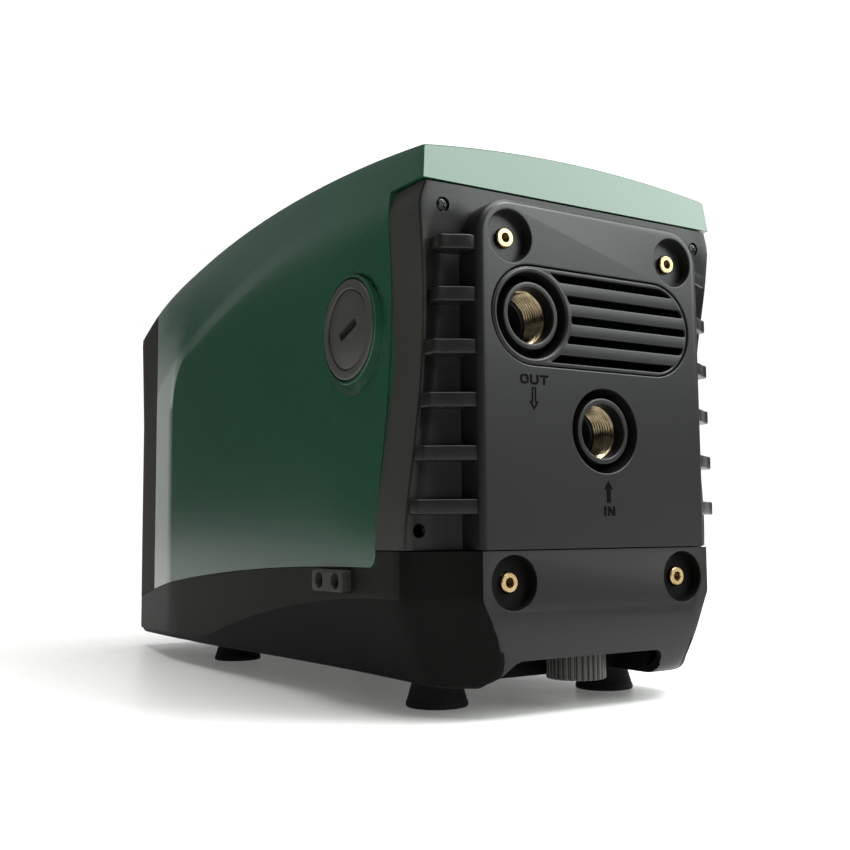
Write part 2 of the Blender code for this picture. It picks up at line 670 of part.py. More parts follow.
def make_motor():
    axis = (AXIS_X, 0, AXIS_Z)
    shaft = [(0, 176), (SHAFT_R, 176), (SHAFT_R, 20), (12, 20), (12, -110), (SHAFT_R, -110)]
    shaft += [(SHAFT_R, -148), (0, -148)]
    turned("motor_shaft", shaft, "Y", axis, "steel", steps=20, closed=False)
    on_axis(ring, "rotor_core", 34.8, 12.4, -95, 5, finish="steel")
    on_axis(ring, "stator_core", 71.3, 36, -95, 5, finish="steel")
    on_axis(ring, "winding_front", 66, 40, -122, -95.4, finish="copper", steps=20)
    on_axis(ring, "winding_rear", 66, 40, 5.4, 32, finish="copper", steps=20)
    can = [(76, 58), (76, -160), (10.5, -160), (10.5, -154), (24, -154), (24, -136)]
    can += [(29, -136), (29, -154), (72, -154), (72, 58)]
    turned("motor_can", can, "Y", axis, "aluminium", steps=20)
    flange = [(80, 69.6), (80, 58.4), (29, 58.4), (29, 40), (24, 40), (24, 56), (10.5, 56), (10.5, 69.6)]
    turned("motor_flange", flange, "Y", axis, "aluminium", steps=20)
    on_axis(ring, "bearing_front", 23.5, 10, -150, -136, finish="steel", steps=20)
    on_axis(ring, "bearing_rear", 23.5, 10, 41, 55, finish="steel", steps=20)
    on_axis(ring, "shaft_seal", 17, 10, 70.4, 84, finish="rubber", steps=24)


def make_pump():
    axis = (AXIS_X, 0, AXIS_Z)
    casing = [(80, 190), (80, 70), (73, 70), (73, 184), (18, 184), (18, 190)]
    turned("pump_casing", casing, "Y", axis, "black_plastic", steps=20)
    pan = [(0, 205.6), (58, 205.6), (58, 190.4), (53, 190.4), (53, 201), (0, 201)]
    cover = turned("suction_cover", pan, "Y", axis, "black_plastic", steps=20, closed=False)
    cut(cover, disc("suction_hole", 15, 195, 210, "Y", (INLET_X, 0, INLET_Z), steps=24))
    for index in range(2):
        start = STAGE_START_Y + STAGE_PITCH * index
        diffuser = [(72.3, start + 40), (72.3, start), (11, start), (11, start + 4)]
        diffuser += [(68, start + 4), (68, start + 40)]
        turned(f"diffuser_{index + 1}", diffuser, "Y", axis, "grey_plastic", steps=20)
        impeller = [(58, start + 26), (58, start + 10), (10, start + 10), (10, start + 34)]
        impeller += [(16, start + 34), (16, start + 26)]
        turned(f"impeller_{index + 1}", impeller, "Y", axis, "grey_plastic", steps=20)


def make_manifold():
    block = box("discharge_manifold", (22, 150, 210), (84, 212, 262), "black_plastic")
    fill = (0, FILL_Y, FILL_Z)
    join(block, disc("fill_neck", 24, 70, 108.6, "X", fill, steps=20))
    join(block, disc("riser", 12, 180, 215, "Z", (50, 168, 0), steps=20))
    cut(block, disc("riser_clearance", 80.6, 60, 200, "Y", (AXIS_X, 0, AXIS_Z), steps=20))
    cut(block, disc("outlet_bore", 17, 160, 230, "Y", (OUTLET_X, 0, OUTLET_Z), steps=20))
    cut(block, disc("fill_bore", 17, 60, 120, "X", fill, steps=20))
    poppet = [(0, 196), (5, 196), (5, 176), (13.5, 176), (13.5, 171), (0, 171)]
    origin = (OUTLET_X, 0, OUTLET_Z)
    turned("check_valve_poppet", poppet, "Y", origin, "grey_plastic", steps=20, closed=False)
    sensor = [(0, 149.6), (9, 149.6), (9, 132), (6, 132), (6, 118), (0, 118)]
    turned("pressure_sensor", sensor, "Y", origin, "brass", steps=16, closed=False)


def make_vessel():
    axis = (-52.0, 0, 264.0)
    shell = [(0, 130)] + [(r, h) for r, h in dome_points(48, 130, -1)]
    shell += [(r, h) for r, h in reversed(dome_points(48, -70, 1))] + [(6.5, -70), (6.5, -66)]
    shell += [(r, h) for r, h in dome_points(45, -67, 1)][1:]
    shell += [(r, h) for r, h in reversed(dome_points(45, 127, -1))][:-1] + [(0, 127)]
    turned("pressure_vessel", shell, "Y", axis, "dark_steel", steps=16, closed=False)
    bladder = [(0, 120)] + dome_points(42, 120, -1) + [(42, -20), (40, -20)]
    bladder += list(reversed(dome_points(40, 118, -1)))[:-1] + [(0, 118)]
    turned("vessel_bladder", bladder, "Y", axis, "rubber", steps=16, closed=False)
    ring("air_valve", 6, 2.2, -84, -60, "Y", axis, "brass", steps=16)


def dome_points(radius, tip, direction):
    """Points of a shallow dome from its centre out to its rim; direction is the side its wall is on."""
    depth = 26.0
    points = []
    for degrees in (35, 64, 90):
        angle = math.radians(degrees)
        points.append((radius * math.sin(angle), tip + direction * depth * (1 - math.cos(angle))))
    return points


def make_electronics():
    box("inverter_board", (14, -78, 232), (96, 104, 233.6), "board")
    sink = box("heat_sink", (14, -60, 212), (96, 80, 231.6), "aluminium")
    for index in range(6):
        x = 21 + 12 * index
        cut(sink, box(f"sink_gap_{index}", (x, -70, 205), (x + 7, 90, 226)))


# ---------------------------------------------------------------- control end


def make_door():
    y = FRONT_Y + WALL / 2
    plan = arc((-DOOR_HALF_WIDTH, y), WALL / 2, 90, 270, 8)
    plan += [(DOOR_HALF_WIDTH, FRONT_Y), (DOOR_HALF_WIDTH, FRONT_Y + WALL)]
    door = flat("compartment_door", [plan], DOOR_LOW_Z, DOOR_HIGH_Z, "XY", "black_plastic")
    pin = (-DOOR_HALF_WIDTH, y, 0)
    cut(door, disc("door_pin_bore", DOOR_PIN_R + 0.4, 60, 180, "Z", pin, steps=12))
    cut(door, box("finger_notch", (62, FRONT_Y - 2, 108), (75, FRONT_Y + 1.6, 132)))
    disc("door_pin", DOOR_PIN_R, 66.6, 173.4, "Z", pin, "steel", steps=12)
    bay = box("accessory_bay", (-76, FRONT_Y + 4, 65), (76, -228, 175), "black_plastic")
    cut(bay, box("bay_hollow", (-73, FRONT_Y - 2, 68), (73, -231, 172)))


def make_interface():
    low = (-PANEL_HALF_WIDTH, FRONT_Y, PANEL_LOW_Z)
    panel = box("interface_panel", low, (PANEL_HALF_WIDTH, FRONT_Y + WALL, PANEL_HIGH_Z), "grey_plastic")
    low = (-WINDOW_HALF_WIDTH, FRONT_Y - 5, WINDOW_LOW_Z)
    cut(panel, box("window_opening", low, (WINDOW_HALF_WIDTH, FRONT_Y + 8, WINDOW_HIGH_Z)))
    half, low_z, high_z = WINDOW_HALF_WIDTH - REVEAL, WINDOW_LOW_Z + REVEAL, WINDOW_HIGH_Z - REVEAL
    box("display_window", (-half, FRONT_Y + 0.4, low_z), (half, FRONT_Y + 2.6, high_z), "glass")
    box("display_board", (-56, FRONT_Y + 9, 196), (56, FRONT_Y + 10.6, 280), "board")
    for index, name in enumerate(KEY_NAMES):
        origin = ((index - 1.5) * KEY_PITCH, 0, KEY_Z)
        cut(panel, disc(name + "_hole", KEY_R + 0.6, FRONT_Y - 5, FRONT_Y + 10, "Y", origin, steps=24))
        disc(name, KEY_R, FRONT_Y, FRONT_Y + 6, "Y", origin, "black_plastic", steps=24)


make_top_cover()
make_front_panel()
make_base_tray()
make_rear_panel()
make_vent_grille()
make_ports()
make_fixings()
make_feet()
make_side_fittings()
make_fill_cap()
make_drain()
make_motor()
make_pump()
make_manifold()
make_vessel()
make_electronics()
make_door()
make_interface()
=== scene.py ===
"""The looks of the water pressure booster pump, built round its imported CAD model.

Lengths are in millimetres unless a name says otherwise, and MM turns them into metres.
X runs across the body, Y towards the port end, Z up, with the origin on the floor.
"""

import json
import math

import bmesh
import bpy
from mathutils import Matrix, Vector


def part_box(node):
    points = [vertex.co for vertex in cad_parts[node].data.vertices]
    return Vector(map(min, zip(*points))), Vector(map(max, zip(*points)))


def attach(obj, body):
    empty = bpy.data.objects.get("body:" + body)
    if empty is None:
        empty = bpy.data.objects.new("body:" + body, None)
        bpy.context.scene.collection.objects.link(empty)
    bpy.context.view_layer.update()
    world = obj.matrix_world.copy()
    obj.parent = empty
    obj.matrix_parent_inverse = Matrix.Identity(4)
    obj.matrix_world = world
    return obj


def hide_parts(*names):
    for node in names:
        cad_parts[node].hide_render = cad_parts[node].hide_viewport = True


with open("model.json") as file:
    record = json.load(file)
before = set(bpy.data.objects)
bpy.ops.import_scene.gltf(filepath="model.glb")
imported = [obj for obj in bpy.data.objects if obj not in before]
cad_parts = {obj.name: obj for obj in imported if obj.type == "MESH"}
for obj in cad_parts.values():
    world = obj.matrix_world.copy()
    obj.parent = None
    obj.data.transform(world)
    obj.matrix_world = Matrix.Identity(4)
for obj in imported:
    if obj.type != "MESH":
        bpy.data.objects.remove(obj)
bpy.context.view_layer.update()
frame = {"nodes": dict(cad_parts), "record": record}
NODES = frame["nodes"]
MM = 0.001


def span(node):
    """Lowest and highest corner of a CAD node, in millimetres."""
    low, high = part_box(node)
    return Vector(low) / MM, Vector(high) / MM


# Driving sizes, read from the frame where a node has them
REAR_Y = span("rear_panel")[1].y
FRONT_Y = span("front_panel")[0].y
COVER_FRONT_Y = span("top_cover")[0].y
FRAME_Y = span("top_cover")[1].y
HALF_WIDTH = 119.2
STRIP_WIDTH = 34.3
BAND_Z = 312.4
SEAM_Z = 96.7
WALL = 3.5
REVEAL = 0.45

EDGE_TOP_Z, EDGE_TOP_Y, EDGE_FALL = 343.8, 85.0, 3.25e-4
CREASE_TOP_Z, CREASE_TOP_Y, CREASE_FALL, CREASE_EASE = 317.5, 165.0, 7.39e-4, 4.94e-7
SILL_TOP_Z, SILL_TOP_Y, SILL_FALL, SILL_CORNER_R = 86.6, 210.0, 1.62e-4, 8.0
CROWN = 7.6
PANEL_FRONT_Y = -142.8
PANEL_RADIUS = 45.0
PANEL_BORDER = 13.5
SIDE_SLOPE = 0.14
ROOF_PINCH = 4.2
ROOF_TAPER, TAPER_EASE = 0.113, 75.0
BASE_BOTTOM_Z = 17.3
FRONT_DIP, DIP_START_Y = 0.0377, -134.0
ROLL_DEPTH, ROLL_HEIGHT, ROLL_EASE, ROLL_BULGE = 20.5, 38.0, 2.2, 0.42
NOTCH_TOP_Z = 33.5
# The notch under the drain plug, as (depth below its top, x)
NOTCH = [(25.5, -53), (9, -51.4), (4.5, -50.4), (1.6, -48.6), (0, -45.0), (0, 59.5)]
NOTCH += [(1.2, 63.6), (4.6, 67.6), (9, 71.5), (13, 77.0), (25.5, 86)]
LEAN_START_Y, BAND_LEAN = 190.0, 0.1
WAIST_DEPTH, WAIST_Z, WAIST_REACH, WAIST_START_Y, WAIST_RUN = 7.0, 215, 105, 130, 132
FLARE, FLARE_RUN = 2.0, 60
CORNER_Y, CORNER_LEAN, CORNER_STEP, CORNER_STEP_Z, CORNER_RUN = 251.8, 0.05, 4.2, 205, 75
CREASE_DROP_Y, CREASE_DROP_RUN = 190, 42
FOLD_TOP_Z, FOLD_TOP_Y, FOLD_FALL, FOLD_MIN = 69.0, 250, 4.5e-4, 6
VALLEY_Y, VALLEY_RISE, VALLEY_SAG = 262.0, 5.3, 4.6
TUCK, TUCK_START_Z, TUCK_RUN = 2.4, 299, 12
# How far the base's plan steps in towards the port end, as (y, depth)
CORNER_PLAN = [(236, 0), (246, 1.2), (252, 5), (260, 14.5), (268, 24), (275, 29.8)]
CORNER_PLAN += [(280, 32.3), (281.8, 32.7), (REAR_Y, 32.8)]
# Cutters that pass right through end here, outside the body
CUT_X, CUT_Y, CUT_Z = 150, 300, -40

PLATE_HALF_WIDTH, PLATE_TOP_Z, PLATE_RADIUS = 88.2, 303.1, 24.0
PORT_RIM_R, COLLAR_R, COLLAR_BORE_R, COLLAR_LIP = 26.0, 20.4, 16.9, 4.5
THREAD_MINOR_R, THREAD_MAJOR_R, THREAD_PITCH, THREAD_DEPTH = 15.15, 16.6, 2.309, 19.0
GRILLE_END_X, GRILLE_R = -47.9, 30.0
SLOT_HALF_HEIGHT, SLOT_PITCH = 2.5, 12.3
INSERT_RECESS_R, INSERT_BORE_R, INSERT_GROOVES = 15.8, 2.45, 14
HINGE_X = -70.0
DISH_SHIFT = Vector((0, 7.5, -4.0))
FIN_THICKNESS = 8.7
# The side fins, as (height of the top, x and y of the outer end)
FINS = [(279.4, 107.0, 271.3), (248.8, 108.3, 269.7), (218.2, 110.5, 268.2)]
FINS += [(187.4, 112.6, 266.2), (156.8, 115.6, 264.4), (126.2, 118.6, 261.9)]
LOW_HOLE_X, LOW_HOLE_Z, LOW_HOLE_R = 111.0, 108.3, 4.2


def middle(node):
    low, high = span(node)
    return (low + high) / 2


def round_size(node, axis):
    """Centre, radius, and the lowest and highest point along its axis of a round node."""
    low, high = span(node)
    index = "XYZ".index(axis)
    return (low + high) / 2, (high - low)[int(index == 0)] / 2, low[index], high[index]


INLET, OUTLET = middle("inlet_port"), middle("outlet_port")
FILL, DRAIN = middle("fill_cap"), middle("drain_plug")
FILL_FACE_X = span("fill_cap")[1].x
COLLAR_FACE_Y = span("inlet_port")[1].y


# --- materials


class Nodes:
    """The node tree of a material or a world, with short ways to add and link nodes."""

    def __init__(self, owner, shader="Principled BSDF", space="Object"):
        owner.use_nodes = True
        self.owner = owner
        self.tree = owner.node_tree
        self.shader = self.tree.nodes[shader]
        self.place = self.add("ShaderNodeTexCoord").outputs[space]

    def add(self, kind, **values):
        node = self.tree.nodes.new(kind)
        for key, value in values.items():
            node.inputs[key.replace("_", " ")].default_value = value
        return node

    def link(self, output, target):
        self.tree.links.new(output, target)

    def feed(self, socket, output):
        """Link an output to one of the shader's sockets."""
        self.link(output, self.shader.inputs[socket])

    def fix(self, **values):
        """Set the shader's own sockets."""
        for key, value in values.items():
            self.shader.inputs[key.replace("_", " ")].default_value = value

    def dress(self, color, roughness, normal=None, **own):
        """Feed the shader's main sockets and give the finished material."""
        self.feed("Base Color", color)
        self.feed("Roughness", roughness)
        if normal:
            self.feed("Normal", normal)
        self.fix(**own)
        return self.owner

    def noise(self, scale, detail=2.0):
        node = self.add("ShaderNodeTexNoise", Scale=scale, Detail=detail)
        self.link(self.place, node.inputs["Vector"])
        return node.outputs["Fac"]

    def spread(self, source, low, high, start=0.25, end=0.75, kind="LINEAR"):
        node = self.add("ShaderNodeMapRange", From_Min=start, From_Max=end, To_Min=low, To_Max=high)
        node.interpolation_type = kind
        self.link(source, node.inputs["Value"])
        return node.outputs["Result"]

    def combine(self, operation, first, second):
        node = self.add("ShaderNodeMath")
        node.operation = operation
        self.link(first, node.inputs[0])
        self.link(second, node.inputs[1])
        return node.outputs["Value"]

    def blend(self, factor, first, second):
        node = self.add("ShaderNodeMix")
        node.data_type = "RGBA"
        colors = [socket for socket in node.inputs if socket.type == "RGBA"]
        colors[0].default_value = (*first, 1.0)
        colors[1].default_value = (*second, 1.0)
        self.link(factor, node.inputs[0])
        return [socket for socket in node.outputs if socket.type == "RGBA"][0]

    def bump(self, source, strength, distance, before=None):
        node = self.add("ShaderNodeBump", Strength=strength, Distance=distance)
        self.link(source, node.inputs["Height"])
        if before:
            self.link(before, node.inputs["Normal"])
        return node.outputs["Normal"]


def new_finish(name):
    return Nodes(bpy.data.materials.new(name))


def scaled(color, factor):
    return tuple(value * factor for value in color)


def moulded(name, color, roughness, grain, depth, shift=0.12, gloss=0.5):
    """Injection-moulded plastic: an even colour with faint clouding and a spark-eroded grain."""
    nodes = new_finish(name)
    clouded = nodes.blend(nodes.noise(14.0, 3.0), scaled(color, 1 - shift), scaled(color, 1 + shift))
    fine = nodes.noise(grain)
    rough = nodes.spread(fine, roughness - 0.05, roughness + 0.06)
    coarse = nodes.bump(nodes.noise(grain * 0.32, 1.0), 0.25, depth * 1.6)
    return nodes.dress(clouded, rough, nodes.bump(fine, 0.5, depth, coarse), Specular_IOR_Level=gloss)


def metal(name, color, tarnish, roughness, grain=900.0, depth=0.00002):
    """Machined or plated metal, with tarnish where the noise is low and fine tool marks."""
    nodes = new_finish(name)
    tint = nodes.blend(nodes.spread(nodes.noise(160.0), 0.0, 1.0), tarnish, color)
    fine = nodes.noise(grain)
    rough = nodes.spread(fine, roughness - 0.06, roughness + 0.1)
    return nodes.dress(tint, rough, nodes.bump(fine, 0.3, depth), Metallic=1.0)


def laminated(name, color, roughness):
    """A stack of thin steel sheets, seen as fine lines across the shaft."""
    nodes = new_finish(name)
    wave = nodes.add("ShaderNodeTexWave", Scale=300.0)
    wave.bands_direction = "Y"
    nodes.link(nodes.place, wave.inputs["Vector"])
    lines = wave.outputs["Fac"]
    nodes.feed("Base Color", nodes.blend(lines, scaled(color, 0.6), color))
    nodes.feed("Normal", nodes.bump(lines, 0.5, 0.0002))
    nodes.fix(Metallic=1.0, Roughness=roughness)
    return nodes.owner


def glassy(name, color):
    """Tinted glass under a clear coat."""
    nodes = new_finish(name)
    tint = nodes.blend(nodes.noise(30.0), color, scaled(color, 1.3))
    rough = nodes.spread(nodes.noise(60.0, 3.0), 0.05, 0.1)
    return nodes.dress(tint, rough, Coat_Weight=0.6, Coat_Roughness=0.04)


def floor_finish(name):
    """A pale floor that lifts its own shadows a little."""
    nodes = new_finish(name)
    tint = nodes.blend(nodes.noise(3.0), (0.58, 0.58, 0.57), (0.61, 0.61, 0.60))
    own = {"Specular_IOR_Level": 0.25, "Emission_Color": (1.0, 0.99, 0.97, 1.0), "Emission_Strength": 0.12}
    return nodes.dress(tint, nodes.spread(nodes.noise(40.0), 0.34, 0.42), **own)


GREEN = moulded("green_cover", (0.0125, 0.058, 0.0295), 0.21, 2600.0, 0.000008, 0.05)
BLACK = moulded("black_grained", (0.0062, 0.0064, 0.0060), 0.33, 1500.0, 0.00006, 0.1, 0.23)
SIDE = moulded("black_side", (0.0260, 0.0258, 0.0210), 0.48, 2000.0, 0.00005, 0.08, 0.22)
# The base's black comes in lit and shaded copies: black_flank is a lighter copy for the upper flank, and
# the next one is darker as painted shade below the fold, round the rear corner and in the insert recesses.
PAINTED_SHADE_BLACK = moulded("black_painted_shade", (0.0042, 0.0044, 0.0039), 0.50, 2400.0, 0.00004, 0.08, 0.04)
FLANK = moulded("black_flank", (0.0085, 0.0085, 0.0072), 0.50, 2400.0, 0.00004, 0.08, 0.07)
RIM = moulded("black_front", (0.012, 0.012, 0.010), 0.65, 1800.0, 0.00008, 0.1, 0.1)
SATIN = moulded("black_satin", (0.020, 0.020, 0.018), 0.36, 2800.0, 0.00003, 0.1)
CAP = moulded("black_cap", (0.031, 0.030, 0.026), 0.46, 2400.0, 0.00004, 0.1)
MARKS = moulded("polished_marks", (0.002, 0.002, 0.002), 0.22, 3000.0, 0.00001, 0.1, 0.08)
GREY = moulded("grey_moulding", (0.16, 0.17, 0.17), 0.48, 1800.0, 0.00004)
RUBBER = moulded("black_rubber", (0.010, 0.010, 0.010), 0.78, 900.0, 0.00008, 0.15, 0.3)
BOARD = moulded("circuit_board", (0.015, 0.13, 0.05), 0.4, 700.0, 0.00005, 0.3)
# A darker brass for the insides of the insert bores: painted shade.
BORE_SHADE_BRASS = metal("brass_painted_shade", (0.16, 0.10, 0.04), (0.08, 0.05, 0.02), 0.5)
BRASS = metal("turned_brass", (0.50, 0.37, 0.19), (0.40, 0.27, 0.12), 0.26)
NICKEL = metal("nickel_thread", (0.25, 0.20, 0.125), (0.09, 0.07, 0.042), 0.17, 260.0, 0.000002)
STEEL = metal("ground_steel", (0.50, 0.50, 0.49), (0.36, 0.36, 0.35), 0.3)
DARK_STEEL = metal("black_screw", (0.028, 0.028, 0.030), (0.016, 0.016, 0.016), 0.3)
CASTING = metal("cast_aluminium", (0.60, 0.61, 0.62), (0.45, 0.46, 0.47), 0.42, 500.0, 0.00012)
COPPER = laminated("winding_wire", (0.62, 0.26, 0.12), 0.32)
LAMINATED = laminated("core_sheets", (0.42, 0.42, 0.42), 0.4)
VESSEL = moulded("vessel_paint", (0.05, 0.05, 0.055), 0.3, 1200.0, 0.00006)
GLASS = glassy("display_glass", (0.012, 0.016, 0.018))
LIT = moulded("display_digits", (0.55, 0.78, 0.70), 0.4, 1000.0, 0.00001)
PRINT = moulded("pad_print", (0.62, 0.63, 0.62), 0.5, 1000.0, 0.00001)


# --- making solids


def new_object(name, data):
    piece = bpy.data.objects.new(name, data)
    bpy.context.scene.collection.objects.link(piece)
    return piece


def solid(name, form):
    """A new object from a bmesh."""
    mesh = bpy.data.meshes.new(name)
    form.to_mesh(mesh)
    form.free()
    return new_object(name, mesh)


def place(piece, origin, rotation):
    piece.data.transform(Matrix.Translation(Vector(origin) * MM) @ rotation)
    return piece


def cleaned(form):
    bmesh.ops.remove_doubles(form, verts=form.verts, dist=1e-6)
    bmesh.ops.dissolve_degenerate(form, edges=form.edges, dist=1e-7)
    bmesh.ops.recalc_face_normals(form, faces=form.faces)


def from_rows(name, rows, closed=True, caps=True):
    """A mesh through rows of points in millimetres; each row is one ring."""
    form = bmesh.new()
    grid = [[form.verts.new(Vector(point) * MM) for point in row] for row in rows]
    count = len(grid[0])
    for row, following in zip(grid, grid[1:]):
        for i in range(count if closed else count - 1):
            k = (i + 1) % count
            form.faces.new((row[i], row[k], following[k], following[i]))
    if caps:
        form.faces.new(grid[0])
        form.faces.new(grid[-1])
    cleaned(form)
    return solid(name, form)


def baked(piece):
    """A new mesh of what an object's curve or modifiers make."""
    bpy.context.view_layer.update()
    graph = bpy.context.evaluated_depsgraph_get()
    return bpy.data.meshes.new_from_object(piece.evaluated_get(graph))


def boolean(target, operation, *tools):
    for tool in tools:
        modifier = target.modifiers.new("cut", "BOOLEAN")
        modifier.object = tool
        modifier.operation = operation
        modifier.solver = "MANIFOLD"
    mesh, old = baked(target), target.data
    target.modifiers.clear()
    target.data = mesh
    bpy.data.meshes.remove(old)
    for tool in tools:
        bpy.data.objects.remove(tool, do_unlink=True)
    return target


def cut(target, *tools):
    return boolean(target, "DIFFERENCE", *tools)


def join(target, *tools):
    return boolean(target, "UNION", *tools)


AXES = {
    "X": Matrix.Rotation(math.radians(90), 4, "Y"),
    "Y": Matrix.Rotation(math.radians(-90), 4, "X"),
    "Z": Matrix.Identity(4),
}


def stand(piece, axis, center):
    """Bring a piece built round Z onto an axis through a point, its heights measured from the origin."""
    origin = Vector(center)
    origin["XYZ".index(axis)] = 0
    return place(piece, origin, AXES[axis])


def turned(name, profile, axis, center, steps=96):
    """Turn (radius, height) points about an axis; a profile that starts on the axis also ends there."""
    rows = []
    for i in range(steps):
        angle = 2 * math.pi * i / steps
        rows.append([(r * math.cos(angle), r * math.sin(angle), h) for r, h in profile])
    rows.append(rows[0])
    return stand(from_rows(name, rows, closed=profile[0][0] > 0, caps=False), axis, center)


def disc(name, radius, low, high, axis, center, steps=64):
    return turned(name, [(0, high), (radius, high), (radius, low), (0, low)], axis, center, steps)


def box(name, low, high):
    form = bmesh.new()
    bmesh.ops.create_cube(form, size=1.0)
    for vertex in form.verts:
        vertex.co = Vector((a + (t + 0.5) * (b - a)) * MM for a, b, t in zip(low, high, vertex.co))
    return solid(name, form)


PLANES = {
    "XY": (Vector((1, 0, 0)), Vector((0, 1, 0))),
    "YZ": (Vector((0, 1, 0)), Vector((0, 0, 1))),
    "ZX": (Vector((0, 0, 1)), Vector((1, 0, 0))),
}


def area(outline):
    return sum(a[0] * b[1] - b[0] * a[1] for a, b in zip(outline, outline[1:] + outline[:1])) / 2


def flat(name, outlines, low, high, plane, edge=0.0):
    """Extrude outlines, the first round the others, with their edges rounded to a radius."""
    across, along = PLANES[plane]
    normal = across.cross(along)
    curve = bpy.data.curves.new(name, "CURVE")
    curve.dimensions = "2D"
    curve.fill_mode = "BOTH"
    curve.extrude = ((high - low) / 2 - edge) * MM
    curve.bevel_depth = edge * MM
    curve.bevel_resolution = 3
    curve.offset = -edge * MM
    for index, outline in enumerate(outlines):
        hole = index > 0
        points = list(outline) if (area(outline) > 0) != hole else list(reversed(outline))
        spline = curve.splines.new("POLY")
        spline.points.add(len(points) - 1)
        for point, (u, v) in zip(spline.points, points):
            point.co = (u * MM, v * MM, 0.0, 1.0)
        spline.use_cyclic_u = True
    drawing = new_object(name + "_drawing", curve)
    rotation = Matrix((across, along, normal)).transposed().to_4x4()
    mesh = baked(drawing)
    bpy.data.objects.remove(drawing, do_unlink=True)
    bpy.data.curves.remove(curve)
    form = bmesh.new()
    form.from_mesh(mesh)
    cleaned(form)
    form.to_mesh(mesh)
    form.free()
    mesh.materials.clear()
    return place(new_object(name, mesh), normal * (low + high) / 2, rotation)


def through(name, outline):
    """A cutter right through the body across X."""
    return flat(name, [outline], -CUT_X, CUT_X, "YZ")


def merge(name, *pieces):
    """Several separate solids as one object."""
    form = bmesh.new()
    for piece in pieces:
        form.from_mesh(piece.data)
        bpy.data.objects.remove(piece, do_unlink=True)
    return solid(name, form)


def settle(piece, material, *nodes, body="root", slot="black_plastic", angle=32):
    """Shade a finished piece, give it its finish and fix it to its CAD body."""
    piece.data.materials.clear()
    piece.data.materials.append(material)
    for face in piece.data.polygons:
        face.material_index = 0
    piece.data.shade_smooth()
    piece.data.set_sharp_from_angle(angle=math.radians(angle))
    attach(piece, body)
    if nodes:
        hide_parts(*nodes)


def repaint(piece, extra, choose):
    """Number each face's material by choose(centre in millimetres, normal), 0 being the first one."""
    for material in extra:
        piece.data.materials.append(material)
    for face in piece.data.polygons:
        face.material_index = int(choose(face.center / MM, face.normal))


def below(face, *pairs):
    """Points of a profile given as (radius, depth below a face)."""
    return [(radius, face - depth) for radius, depth in pairs]


def arc(center, radius, start, end, count):
    angles = [math.radians(start + (end - start) * i / count) for i in range(count + 1)]
    return [(center[0] + radius * math.cos(a), center[1] + radius * math.sin(a)) for a in angles]


def circle(center, radius, count=64):
    return arc(center, radius, 0, 360, count)[:-1]


def rounded_rectangle(low, high, radii, count=8):
    """Outline with one radius for each corner: low-low, high-low, high-high, low-high."""
    centers = [
        (low[0] + radii[0], low[1] + radii[0]),
        (high[0] - radii[1], low[1] + radii[1]),
        (high[0] - radii[2], high[1] - radii[2]),
        (low[0] + radii[3], high[1] - radii[3]),
    ]
    outline = []
    for i, (center, radius) in enumerate(zip(centers, radii)):
        start = 180 + 90 * i
        outline += arc(center, radius, start, start + 90, count) if radius else [center]
    return outline


def window(low, high, radius, gap=0.0):
    """A rounded outline in the ZX plane round a box's corners."""
    corners = (low.z - gap, low.x - gap), (high.z + gap, high.x + gap)
    return rounded_rectangle(*corners, [radius] * 4)


# --- shape of the body


def smooth(value):
    value = min(1.0, max(0.0, value))
    return value * value * (3 - 2 * value)


def roof_edge_z(y):
    return EDGE_TOP_Z - EDGE_FALL * (y - EDGE_TOP_Y) ** 2


def roof_edge_x(y):
    pinch = ROOF_PINCH * smooth((y + 230) / 150)
    reach = PANEL_FRONT_Y - y
    return HALF_WIDTH - pinch - ROOF_TAPER * (reach + math.hypot(reach, TAPER_EASE)) / 2


def crease_z(y):
    distance = CREASE_TOP_Y - y
    return CREASE_TOP_Z - CREASE_FALL * distance**2 + CREASE_EASE * distance**3


def sill_z(y):
    return SILL_TOP_Z - SILL_FALL * (y - SILL_TOP_Y) ** 2


PANEL_CENTER_Y = PANEL_FRONT_Y + PANEL_RADIUS
PANEL_CENTER_Z = crease_z(PANEL_CENTER_Y) - PANEL_BORDER - PANEL_RADIUS


def side_x(y, z):
    """Half the width of the flat flank, drawn in to a waist towards the port end."""
    rear = smooth((y - WAIST_START_Y) / WAIST_RUN)
    waist = WAIST_DEPTH * math.cos(math.pi / 2 * min(1, abs(z - WAIST_Z) / WAIST_REACH)) ** 2
    flare = FLARE * (1 - smooth((z - SEAM_Z) / FLARE_RUN))
    return HALF_WIDTH + rear * (flare - waist)


def corner_y(z):
    """Where the flank turns into the rear frame."""
    return CORNER_Y + CORNER_LEAN * (z - 100) + CORNER_STEP * smooth((z - CORNER_STEP_Z) / CORNER_RUN)


def panel_distance(y, z):
    """How far a point of the flank lies outside the flat side panel."""
    if y >= PANEL_CENTER_Y:
        return max(0.0, z - crease_z(y) + PANEL_BORDER)
    if z <= PANEL_CENTER_Z:
        return max(0.0, PANEL_FRONT_Y - y)
    return max(0.0, math.hypot(PANEL_CENTER_Y - y, z - PANEL_CENTER_Z) - PANEL_RADIUS)


def panel_top_z(y):
    if y >= PANEL_CENTER_Y:
        return crease_z(y) - PANEL_BORDER
    reach = min(PANEL_RADIUS, PANEL_CENTER_Y - y)
    return min(PANEL_CENTER_Z + math.sqrt(PANEL_RADIUS**2 - reach**2), crease_z(y) - PANEL_BORDER / 2)


def skin_x(y, z):
    return side_x(y, z) - SIDE_SLOPE * panel_distance(y, z)


def crease_row_z(y):
    """The crease, led down to the band's lower edge at the port end."""
    share = smooth((y - CREASE_DROP_Y) / CREASE_DROP_RUN)
    return crease_z(y) * (1 - share) + BAND_Z * share


def arc_stations(count):
    """Stations over the round front corner of the side panel, evenly spread along its arc."""
    angles = [math.radians(90 * i / count) for i in range(count + 1)]
    return [PANEL_CENTER_Y - PANEL_RADIUS * math.cos(a) for a in angles]


